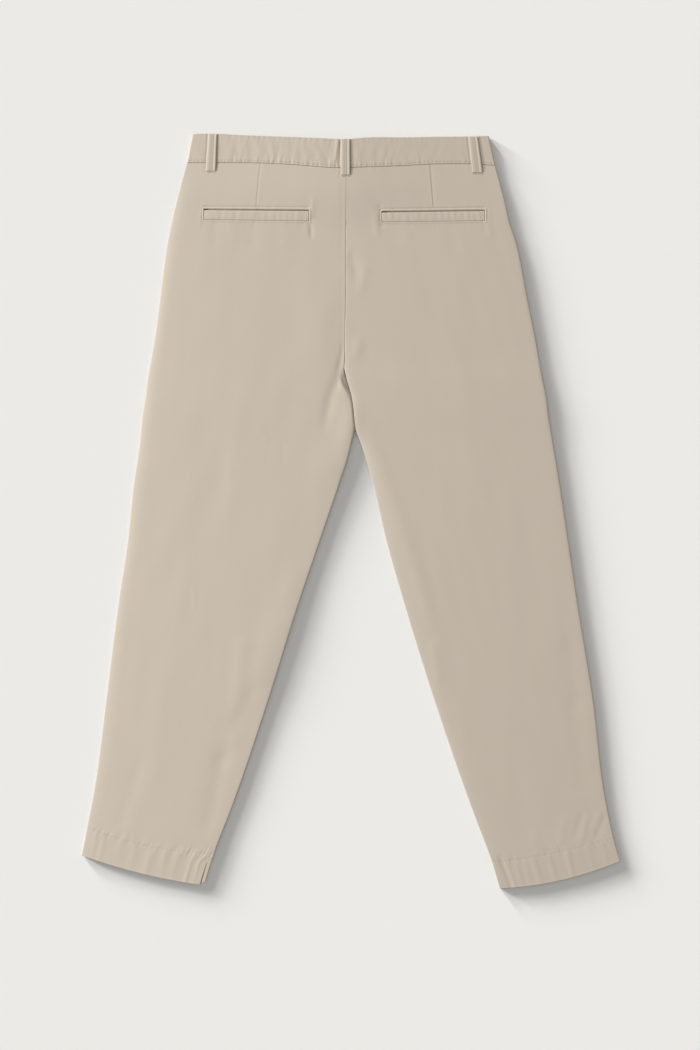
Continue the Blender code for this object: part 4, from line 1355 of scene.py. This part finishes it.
@dataclass(frozen=True)
class BeltLoop:
    """A belt loop: a folded strip with two stitched edges and a hollow between them."""

    loop: Loop
    seat: Seat
    rim: float = 0.36
    bow: float = 0.3               # how far it stands off the waistband in the middle
    reach: int = 5                 # rows over which the stiff strip bridges a step

    def sheet(self) -> Sheet:
        """Lay the loop out: it follows the waistband and steps down to the panel.

        Returns:
            The loop's cloth.
        """
        loop = self.loop
        down = spread((0, 0.03, 0.006), (0.03, 0.97, 0.022), (0.97, 1, 0.006))[:, None]
        share = spread((-1, -0.86, 0.028), (-0.86, 0.86, 0.08), (0.86, 1, 0.028))
        drop = loop.top_drop + (loop.foot_drop - loop.top_drop) * down
        half = (loop.top_width + (loop.foot_width - loop.top_width) * down) / 2
        half = half * (1 - 0.02 * np.sin(np.pi * down * 2))
        x = loop.top_x + (loop.foot_x - loop.top_x) * down + half * share
        below = self.seat.top(x, drop).max(axis=1)
        # The strip bridges the step at the waist seam, as stiff folded cloth does.
        bridged = below
        for settle in (np.max, np.mean):
            padded = np.pad(bridged, self.reach, mode="edge")
            windows = [padded[shift:shift + len(below)] for shift in range(2 * self.reach + 1)]
            bridged = settle(windows, axis=0)
        low = np.maximum(bridged, below)[:, None] + GAP + self.bow * np.sin(np.pi * down) ** 2
        edge = np.minimum((1 - np.abs(share)) * half, np.minimum(down, 1 - down) * LOOP_LENGTH)
        section = self.rim * (bell(share + 0.52, 0.34) + bell(share - 0.74, 0.17))
        section = section - 0.28 * bell(share - 0.36, 0.14)
        high = low + LOOP_CLOTH * (0.35 + 0.65 * rounding(edge, EDGE_SOFT)) + section
        high = high - 0.25 * bell((1 - down) * LOOP_LENGTH - 2.6, 0.8)
        # Lighter rims, partly wear and partly painted highlight; painted shade in the channel between them.
        wear_and_shading = 0.35 * bell(edge, 0.7) - 0.5 * bell(share - 0.36, 0.14)
        name, node = f"loop_{loop.name}", f"belt_loop_{loop.name}"
        cut = Cut(name, node, 14, 56, "folded", ("waistband_half_left",))
        grain = (share * half, down * LOOP_LENGTH)
        return Sheet(cut, place(x, drop, low), place(x, drop, high), grain, wear_and_shading)


# ------------------------------------------------------------------ front of the garment


@dataclass(frozen=True)
class FrontPanel:
    """A front panel, cut away at the slanted pocket, flat on its outer side."""

    leg: Leg
    corner_rise: float             # how far the hem's inner corner is drawn up
    strip_rise: float = 1.9        # how thick the seam makes the strip beside the back's hem
    split: tuple[float, float] = (0.1, 2.2)    # gap beside it, at the stitching and at the foot
    flush: float = 0.4             # how much higher the strip lies at its top
    inset: float = 0.5
    pocket_width: float = 45.0
    pocket_length: float = 165.0
    loop_tail: float = 10.0

    def edges(self, level: Array) -> tuple[Array, Array, Array, Array]:
        """Find both edges of the panel.

        Args:
            level: Level down the leg.

        Returns:
            x and drop at the side edge, then x and drop at the inner edge.
        """
        outer_x, outer_drop = self.leg.point(level, 0.0)
        inner_x, inner_drop = self.leg.point(level, 1.0)
        # The strip beside the back's hem shows, and everything else stays under the back.
        hidden = self.leg.read(level, "fall") * (self.leg.shift(level) >= 0)
        inner_x = inner_x + self.leg.sign * self.inset * hidden
        return outer_x - self.leg.sign * self.inset, outer_drop, inner_x, inner_drop

    def point(self, level: Array, share: Array) -> tuple[Array, Array]:
        """Find points by their row and their place in it.

        Args:
            level: Level down the leg.
            share: Share of the way from the side seam to the inner edge.

        Returns:
            x and drop.
        """
        outer_x, outer_drop, inner_x, inner_drop = self.edges(level)
        x = outer_x + (inner_x - outer_x) * share
        drop = outer_drop + (inner_drop - outer_drop) * share
        drop = drop + self.leg.read(level, "bow") * 4 * share * (1 - share)
        waist_fade = 1 - ease((level - self.leg.at("waist")) / 200)
        at_corner = ease(1 - np.abs(inner_x - x) / 12) * ease((level - self.leg.at("hem_stitch")) / 40)
        return x, drop + front_dip(x) * waist_fade - self.corner_rise * at_corner

    def slant(self, level: Array) -> Array:
        """Give how far in from the side seam the pocket's mouth lies."""
        down = (level - self.leg.at("waist")) / self.pocket_length
        return self.pocket_width * np.maximum(1 - down, 0)

    def sheet(self) -> Sheet:
        """Lay the panel out.

        Returns:
            The panel's cloth.
        """
        leg, side = self.leg, self.leg.side.value
        waist, stitch, hem = (leg.at(name) for name in ("waist", "hem_stitch", "hem"))
        level = spread(
            (waist, waist + 60, 2.5),
            (waist + 60, stitch - 6, 6),
            (stitch - 6, stitch + 12, 0.3),
            (stitch + 12, hem - 1.5, 2.4),
            (hem - 1.5, hem, 0.3),
        )[:, None]
        outer_x, _, inner_x, _ = self.edges(level)
        width, slant = np.abs(inner_x - outer_x), self.slant(level)
        start = (slant + GAP * (slant > 0)) / width
        parts = spread((0, 0.004, 0.001), (0.004, 0.06, 0.007), (0.06, 0.88, 0.02), (0.88, 1, 0.0025))
        share = start + (1 - start) * parts
        x, drop = self.point(level, share)
        below = drop - waist_foot(x) - front_dip(x)
        lift = loop_lift(x) * (1 - ease((below - self.loop_tail - 8) / 12))
        from_mouth, from_inner = (share - start) * width, (1 - share) * width
        edge = np.minimum(np.minimum(from_mouth, from_inner), hem - level)
        in_pocket = slant > 0
        low = lift + leg.wall(level) * 0.35 * (1 - rounding(edge, EDGE_SOFT))
        low = low + 0.3 * bell(level - stitch, 1.1) + 0.28 * bell(from_mouth - 6, 0.8) * in_pocket
        strip = np.maximum(-leg.shift(level), 0)
        down = np.clip((level - stitch - 10) / (hem - stitch - 10), 0, 1)
        split = self.split[0] + (self.split[1] - self.split[0]) * down
        on_strip = ease((strip - split - from_inner) / 0.3) * (strip > 1)
        rise = self.strip_rise + self.flush * (1 - down) ** 2
        top = lift + leg.wall(level) + rise * on_strip * rounding(from_inner + 0.35, 1.2)
        # Lighter edges, partly wear and partly painted highlight; painted shade along the hem's stitching and
        # the pocket's stitching.
        wear_and_shading = 0.3 * bell(edge, 0.8) - 0.5 * bell(level - stitch, 0.9)
        wear_and_shading = wear_and_shading - 0.4 * bell(from_mouth - 6, 0.7) * in_pocket
        cut = Cut(f"front_panel_{side}", f"front_{side}", 300, 1010, "laid")
        inner, outer = place(x, drop, top), place(x, drop, low)
        return Sheet(cut, inner, outer, ((share - 0.5) * width, level), wear_and_shading)


@dataclass(frozen=True)
class PocketSide:
    """The side piece that fills the slant of a front pocket."""

    front: FrontPanel
    length_share: float = 0.98     # how far down the slant it reaches

    def sheet(self) -> Sheet:
        """Lay the side piece out.

        Returns:
            The side piece's cloth.
        """
        front, side = self.front, self.front.leg.side.value
        waist = front.leg.at("waist")
        foot = waist + self.length_share * front.pocket_length
        level = spread((waist, waist + 1.2, 0.3), (waist + 1.2, foot, 2.5))[:, None]
        outer_x, _, inner_x, _ = front.edges(level)
        across = spread((0, 0.1, 0.025), (0.1, 1, 0.06)) * front.slant(level)
        x, drop = front.point(level, across / np.abs(inner_x - outer_x))
        edge = np.minimum(across, (level - waist) * 2 + 0.5)
        low = 0.35 * CLOTH * (1 - rounding(edge, EDGE_SOFT))
        cut = Cut(f"pocket_side_piece_{side}", f"pocket_side_{side}", 46, 164, "laid")
        inner, outer = place(x, drop, CLOTH), place(x, drop, low)
        # Lighter along its edges, partly wear and partly painted highlight.
        return Sheet(cut, inner, outer, (across, level), 0.2 * bell(edge, 0.8))


@dataclass(frozen=True)
class FrontLoop:
    """A belt loop that lies between the front waistband and the surface."""

    side: Side
    width: float = 13.0
    tail: float = 10.0             # how far it reaches below the waistband
    hollow: float = 0.25           # between its two stitched rims

    def sheet(self) -> Sheet:
        """Lay the loop out.

        Returns:
            The loop's cloth.
        """
        middle, side = LEGS[self.side].sign * FRONT_LOOP_X, self.side.value
        top = waist_top(middle) + front_dip(middle) + 0.5
        foot = waist_foot(middle) + front_dip(middle) + self.tail
        down = spread((0, 0.03, 0.006), (0.03, 0.97, 0.03), (0.97, 1, 0.006))[:, None]
        share = spread((-1, -0.86, 0.035), (-0.86, 0.86, 0.1), (0.86, 1, 0.035))
        x, drop = middle + share * self.width / 2, top + (foot - top) * down
        edge = np.minimum((1 - np.abs(share)) * self.width / 2, np.minimum(down, 1 - down) * (foot - top))
        rims = np.maximum(bell(share + 0.72, 0.2), bell(share - 0.72, 0.2))
        low = self.hollow * (1 - rims) + 0.4 * (1 - rounding(edge, 0.8))
        cut = Cut(f"loop_front_{side}", f"belt_loop_front_{side}", 13, 52, "folded")
        inner, outer = place(x, drop, LOOP_CLOTH + 0 * low), place(x, drop, low)
        # Lighter along its edges, partly wear and partly painted highlight.
        return Sheet(cut, inner, outer, (x - middle, drop), 0.3 * bell(edge, 0.7))


@dataclass(frozen=True)
class FlyShield:
    """The strip behind the fly, between the front and the back."""

    width: float = 40.0
    past: float = 4.0              # how far it passes centre front
    length: float = 165.0
    cloth: float = 1.0
    narrow: float = 0.35           # share of its width that it loses at its foot
    wave: float = 0.12

    def sheet(self) -> Sheet:
        """Lay the shield out.

        Returns:
            The shield's cloth.
        """
        top = float(waist_foot(0)) + FRONT_DIP + 2
        down = spread((0, 0.01, 0.0025), (0.01, 0.99, 0.02), (0.99, 1, 0.0025))[:, None]
        across = spread((0, 0.03, 0.0075), (0.03, 0.97, 0.047), (0.97, 1, 0.0075))
        reach = self.width * (1 - self.narrow * ease((down - 0.6) / 0.4))
        x, drop = self.past - (reach + self.past) * across, top + self.length * down
        ends = np.minimum(down, 1 - down) * self.length
        edge = np.minimum(np.minimum(across, 1 - across) * reach, ends)
        low = CLOTH + GAP + self.wave * (1 + np.sin(drop / 9)) / 2
        high = low + self.cloth * (0.5 + 0.5 * rounding(edge, 0.8)) - 0.2 * bell(edge - 5, 0.7)
        fronts = ("front_panel_left", "front_panel_right")
        cut = Cut("fly_shield_strip", "fly_shield", 45, 166, "laid", fronts)
        inner, outer = place(x, drop, low), place(x, drop, high)
        # Painted shade along its stitching, 5 mm in from the edge.
        return Sheet(cut, inner, outer, (x, drop), -0.4 * bell(edge - 5, 0.6))


@dataclass(frozen=True)
class Button:
    """The four-hole waist button, which faces the surface with its dished side."""

    rim: float = 1.9               # width of the raised rim
    dish: float = 0.45             # how deep the middle lies
    hole: float = 0.85
    spacing: float = 3.2           # between the holes' middles

    def build(self, material: Material) -> Object:
        """Make the button: a plate with four holes inside a turned rim.

        Args:
            material: Its finish.

        Returns:
            The piece.
        """
        bm = bmesh.new()
        inside, half_rim, half = BUTTON_RADIUS - self.rim, self.rim / 2, BUTTON_THICK / 2
        bmesh.ops.create_circle(bm, cap_ends=False, segments=40, radius=inside + 0.1)
        for across in (-0.5, 0.5):
            for along in (-0.5, 0.5):
                shift = Matrix.Translation((across * self.spacing, along * self.spacing, 0))
                bmesh.ops.create_circle(bm, cap_ends=False, segments=14, radius=self.hole, matrix=shift)
        bmesh.ops.triangle_fill(bm, use_beauty=True, edges=bm.edges[:])
        plate = bmesh.ops.extrude_face_region(bm, geom=bm.faces[:], use_keep_orig=True)
        lifted = [item for item in plate["geom"] if isinstance(item, bmesh.types.BMVert)]
        bmesh.ops.translate(bm, vec=(0, 0, BUTTON_THICK - 2 * self.dish), verts=lifted)
        bmesh.ops.translate(bm, vec=(0, 0, self.dish), verts=bm.verts)
        # The rim is a rounded section turned round the middle.
        turn = Matrix.Translation((inside + half_rim, 0, half)) @ Matrix.Rotation(math.radians(90), 4, "X")
        section = bmesh.ops.create_circle(bm, cap_ends=False, segments=20, radius=1, matrix=turn)["verts"]
        for vert in section:
            vert.co.x = inside + half_rim + (vert.co.x - inside - half_rim) * half_rim
            vert.co.z = half + (vert.co.z - half) * half
        edges = {edge for vert in section for edge in vert.link_edges}
        bmesh.ops.spin(
            bm,
            geom=[*section, *edges],
            cent=(0, 0, 0),
            axis=(0, 0, 1),
            angle=2 * math.pi,
            steps=48,
            use_merge=True,
        )
        bmesh.ops.recalc_face_normals(bm, faces=bm.faces)
        drop = band_drop(0, 0.5) + FRONT_DIP
        bmesh.ops.scale(bm, vec=(MM, MM, MM), verts=bm.verts)
        bmesh.ops.translate(bm, vec=Vector(place(0, drop, 0)), verts=bm.verts)
        piece = finish_mesh("button_four_hole", bm, material)
        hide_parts("button")
        return piece


# ----------------------------------------------------------------------------- thread


@dataclass(frozen=True)
class Thread:
    """The visible sewing thread. A row of stitches is given by points in the frame."""

    seat: Seat
    width: float = 0.62
    thick: float = 0.42            # how thick the pressed thread stands
    sink: float = 0.05

    def stitches(self, row: Array) -> list[Matrix]:
        """Share a row out among its stitches.

        Args:
            row: Points along the row.

        Returns:
            A place, a turn and a size for each stitch.
        """
        steps = np.linalg.norm(np.diff(row, axis=0), axis=1)
        along = np.concatenate([[0], np.cumsum(steps)])
        count = max(int(along[-1] / (STITCH * MM)), 1)
        half = 0.4 * along[-1] / count
        found = []
        for centre in (np.arange(count) + 0.5) * along[-1] / count:
            start, end = (
                Vector([np.interp(at, along, row[:, axis]) for axis in range(3)])
                for at in (centre - half, centre + half)
            )
            turn = (end - start).to_track_quat("X", "Z").to_matrix().to_4x4()
            sizes = ((end - start).length / 2, self.width * MM / 2, self.thick * MM / 2, 1)
            found.append(Matrix.Translation((start + end) / 2) @ turn @ Matrix.Diagonal(sizes))
        return found

    def sew(self, name: str, rows: list[Array], material: Material) -> Object:
        """Make one piece of thread from its rows of stitches.

        Args:
            name: Name of the piece.
            rows: The points of each row.
            material: Its finish.

        Returns:
            The piece.
        """
        bm = bmesh.new()
        for matrix in (matrix for row in rows for matrix in self.stitches(row)):
            bmesh.ops.create_uvsphere(bm, u_segments=5, v_segments=5, radius=1, matrix=matrix)
        return finish_mesh(name, bm, material)

    def on_panel(self, panel: BackPanel, level: Array, share: Array) -> Array:
        """Give the points of a row that lies on a back panel."""
        x, drop, _, high = panel.surface(level, share)
        return place(x, drop, high + self.sink)

    def waistband_rows(self) -> list[Array]:
        """Give the edge stitch along the waistband's foot, between the belt loops.

        Returns:
            The points of each row.
        """
        rows = []
        for start, end in ((-215, -193.5), (-178, -7.5), (7.5, 175), (191, 205)):
            x = np.arange(start, end, 1.0)
            drop = waist_foot(x) - self.seat.bands[Side.LEFT].stitch_up
            rows.append(place(x, drop, self.seat.top(x, drop) + self.sink))
        return rows

    def pocket_rows(self) -> list[Array]:
        """Give the stitched frame round each back pocket.

        Returns:
            The points of each row.
        """
        rows, steps = [], np.linspace(0.02, 0.98, 60)
        for side, panel in self.seat.panels.items():
            leg, out = panel.leg, panel.frame_stitch
            # At the left end the row lies nearer the opening, at the right end on the ridge.
            left, right = out - panel.frame_nearer, panel.frame_middle
            outer, inner = (left, right) if side is Side.LEFT else (right, left)
            top, foot = leg.at("pocket_mouth") - out, leg.at("pocket_foot") + out
            width = float(leg.width(top + out))
            corners = ((0, top), (1, top), (1, foot), (0, foot))
            for (part0, level0), (part1, level1) in zip(corners, corners[1:] + corners[:1]):
                level = level0 + (level1 - level0) * steps
                start, end = leg.opening(level)
                start, end = start - outer / width, end + inner / width
                share = start + (end - start) * (part0 + (part1 - part0) * steps)
                rows.append(self.on_panel(panel, level, share))
        return rows

    def hem_rows(self) -> list[Array]:
        """Give the hems' stitching on the seat side.

        Returns:
            The points of each row.
        """
        share = np.linspace(0.008, 0.992, 120)
        panels = self.seat.panels.values()
        return [self.on_panel(panel, panel.leg.at("hem_stitch") + 0 * share, share) for panel in panels]


# ----------------------------------------------------------------------------- studio


class Reaches(Enum):
    """What a lamp lights. Everything still casts its shadow."""

    CLOTH = "the garment alone"
    GROUND = "the ground alone"


@dataclass(frozen=True)
class Lamp:
    """A lamp of the studio, aimed at the middle of the garment.

    share is the part of a level surface's light that comes from this lamp. A lamp with a
    distance is a softbox, which falls off across the garment. One without is a broad sun.
    """

    name: str
    reaches: Reaches
    plan: tuple[float, float]      # where it stands, seen from above
    elevation: float               # degrees above the ground
    share: float
    softness: float                # degrees that it spans
    distance: float = 0.0
    colour: tuple[float, float, float] = (1.0, 1.0, 1.0)

    def build(self, receivers: list[Object]) -> None:
        """Make the lamp.

        Args:
            receivers: The objects that it lights.
        """
        wide, angle = math.radians(self.softness), math.radians(self.elevation)
        flat = Vector((*self.plan, 0)).normalized()
        direction = flat * math.cos(angle) + Vector((0, 0, math.sin(angle)))
        data = bpy.data.lights.new(self.name, "AREA" if self.distance else "SUN")
        data.energy = self.share * math.pi / math.sin(angle)
        if self.distance:
            data.shape = "DISK"
            data.size = 2 * self.distance * math.tan(wide / 2)
            data.energy *= math.pi * self.distance ** 2
        else:
            data.angle = wide
        data.color = self.colour
        lamp = bpy.data.objects.new(self.name, data)
        lamp.location = direction * (self.distance or 5)
        lamp.rotation_mode = "QUATERNION"
        lamp.rotation_quaternion = direction.to_track_quat("Z", "Y")
        bpy.context.collection.objects.link(lamp)
        group = bpy.data.collections.new(f"{self.name}_reaches")
        for receiver in receivers:
            group.objects.link(receiver)
        lamp.light_linking.receiver_collection = group


LAMPS = (
    Lamp("softbox_left", Reaches.CLOTH, (-1, 0.1), 26, 0.36, 16, 3.2, (0.98, 0.99, 1.03)),
    Lamp("window_above", Reaches.CLOTH, (-0.5, 1), 26, 0.26, 16),
    Lamp("low_window_left", Reaches.GROUND, (-0.86, 0.51), 5, 0.14, 5.5),
    Lamp("low_window_top", Reaches.GROUND, (-0.6, 0.8), 5.2, 0.14, 5.5),
    Lamp("high_window_left", Reaches.GROUND, (-0.82, 0.57), 9.5, 0.135, 9),
    Lamp("high_window_top", Reaches.GROUND, (-0.62, 0.79), 9.5, 0.135, 9),
    Lamp("ceiling", Reaches.GROUND, (0, 0), 90, 0.05, 60),
)


@dataclass(frozen=True)
class Studio:
    """The pale ground, the soft light and the camera straight above."""

    frame_height: float = 1454.25    # what the picture's height covers
    centre: tuple[float, float] = (-1.3, -19.2)
    lens: float = 85.0
    sensor: float = 36.0
    ground_colour: str = "#EDECE8"
    fill: float = 0.38               # share of the light that comes from all round

    def camera(self) -> None:
        """Set the camera above the garment, with the waist at the top of the picture."""
        data = bpy.data.cameras.new("camera")
        data.lens, data.sensor_width = self.lens, self.sensor
        camera = bpy.data.objects.new("camera", data)
        height = self.frame_height * self.lens / self.sensor
        camera.location = (self.centre[0] * MM, self.centre[1] * MM, height * MM)
        bpy.context.collection.objects.link(camera)
        bpy.context.scene.camera = camera

    def ground(self) -> Object:
        """Lay the ground: matt paper, which shows the soft shadow and no gloss.

        Returns:
            The ground.
        """
        bm = bmesh.new()
        bmesh.ops.create_grid(bm, x_segments=1, y_segments=1, size=6)
        mesh = bpy.data.meshes.new("ground")
        bm.to_mesh(mesh)
        bm.free()
        material, _, shader = new_material("ground_paper", Roughness=1, Specular_IOR_Level=0)
        shader.inputs["Base Color"].default_value = linear(self.ground_colour)
        mesh.materials.append(material)
        ground = bpy.data.objects.new("ground", mesh)
        ground.location.z = -0.2 * MM
        bpy.context.collection.objects.link(ground)
        return ground

    def build(self, pieces: list[Object]) -> None:
        """Set up the whole studio.

        Args:
            pieces: The garment's pieces.
        """
        self.camera()
        lit = {Reaches.CLOTH: pieces, Reaches.GROUND: [self.ground()]}
        world = bpy.data.worlds.new("studio")
        world.use_nodes = True
        background = world.node_tree.nodes["Background"]
        background.inputs["Color"].default_value = (1.0, 1.0, 1.0, 1.0)
        background.inputs["Strength"].default_value = self.fill
        bpy.context.scene.world = world
        for lamp in LAMPS:
            lamp.build(lit[lamp.reaches])
        bpy.context.scene.view_settings.view_transform = "Standard"


# ------------------------------------------------------------------------------- main


def main() -> None:
    """Build the dressed trousers, then the studio round them."""
    logging.basicConfig(level=logging.INFO, format="%(message)s")
    twill, thread, polyester = (finish.build() for finish in (TWILL, THREAD, POLYESTER))
    left, right = LEGS[Side.LEFT], LEGS[Side.RIGHT]
    panels = {
        Side.LEFT: BackPanel(left, outer_roll=6.5, inner_soft=0.4, outer_fill=0.15, inner_fill=0.6),
        Side.RIGHT: BackPanel(right, outer_roll=0.8, inner_soft=1, outer_fill=0.6, inner_fill=0),
    }
    bands = {Side.LEFT: Waistband(left, slant=7.6), Side.RIGHT: Waistband(right, slant=9)}
    seat = Seat(panels, bands)
    fronts = (FrontPanel(left, corner_rise=5.5), FrontPanel(right, corner_rise=0))
    cloths = (
        *panels.values(),
        *(Welt(panel) for panel in panels.values()),
        *bands.values(),
        *(BeltLoop(loop, seat) for loop in BACK_LOOPS),
        *fronts,
        *(PocketSide(front) for front in fronts),
        *(FrontLoop(side) for side in Side),
        FlyShield(),
    )
    pieces = [cloth.sheet().build(twill) for cloth in cloths]
    pieces.append(Button().build(polyester))
    sewing = Thread(seat)
    pieces.append(sewing.sew("thread_waistband", sewing.waistband_rows(), thread))
    pieces.append(sewing.sew("thread_pockets", sewing.pocket_rows(), thread))
    pieces.append(sewing.sew("thread_hems", sewing.hem_rows(), thread))
    Studio().build(pieces)


if __name__ == "__main__":
    main()
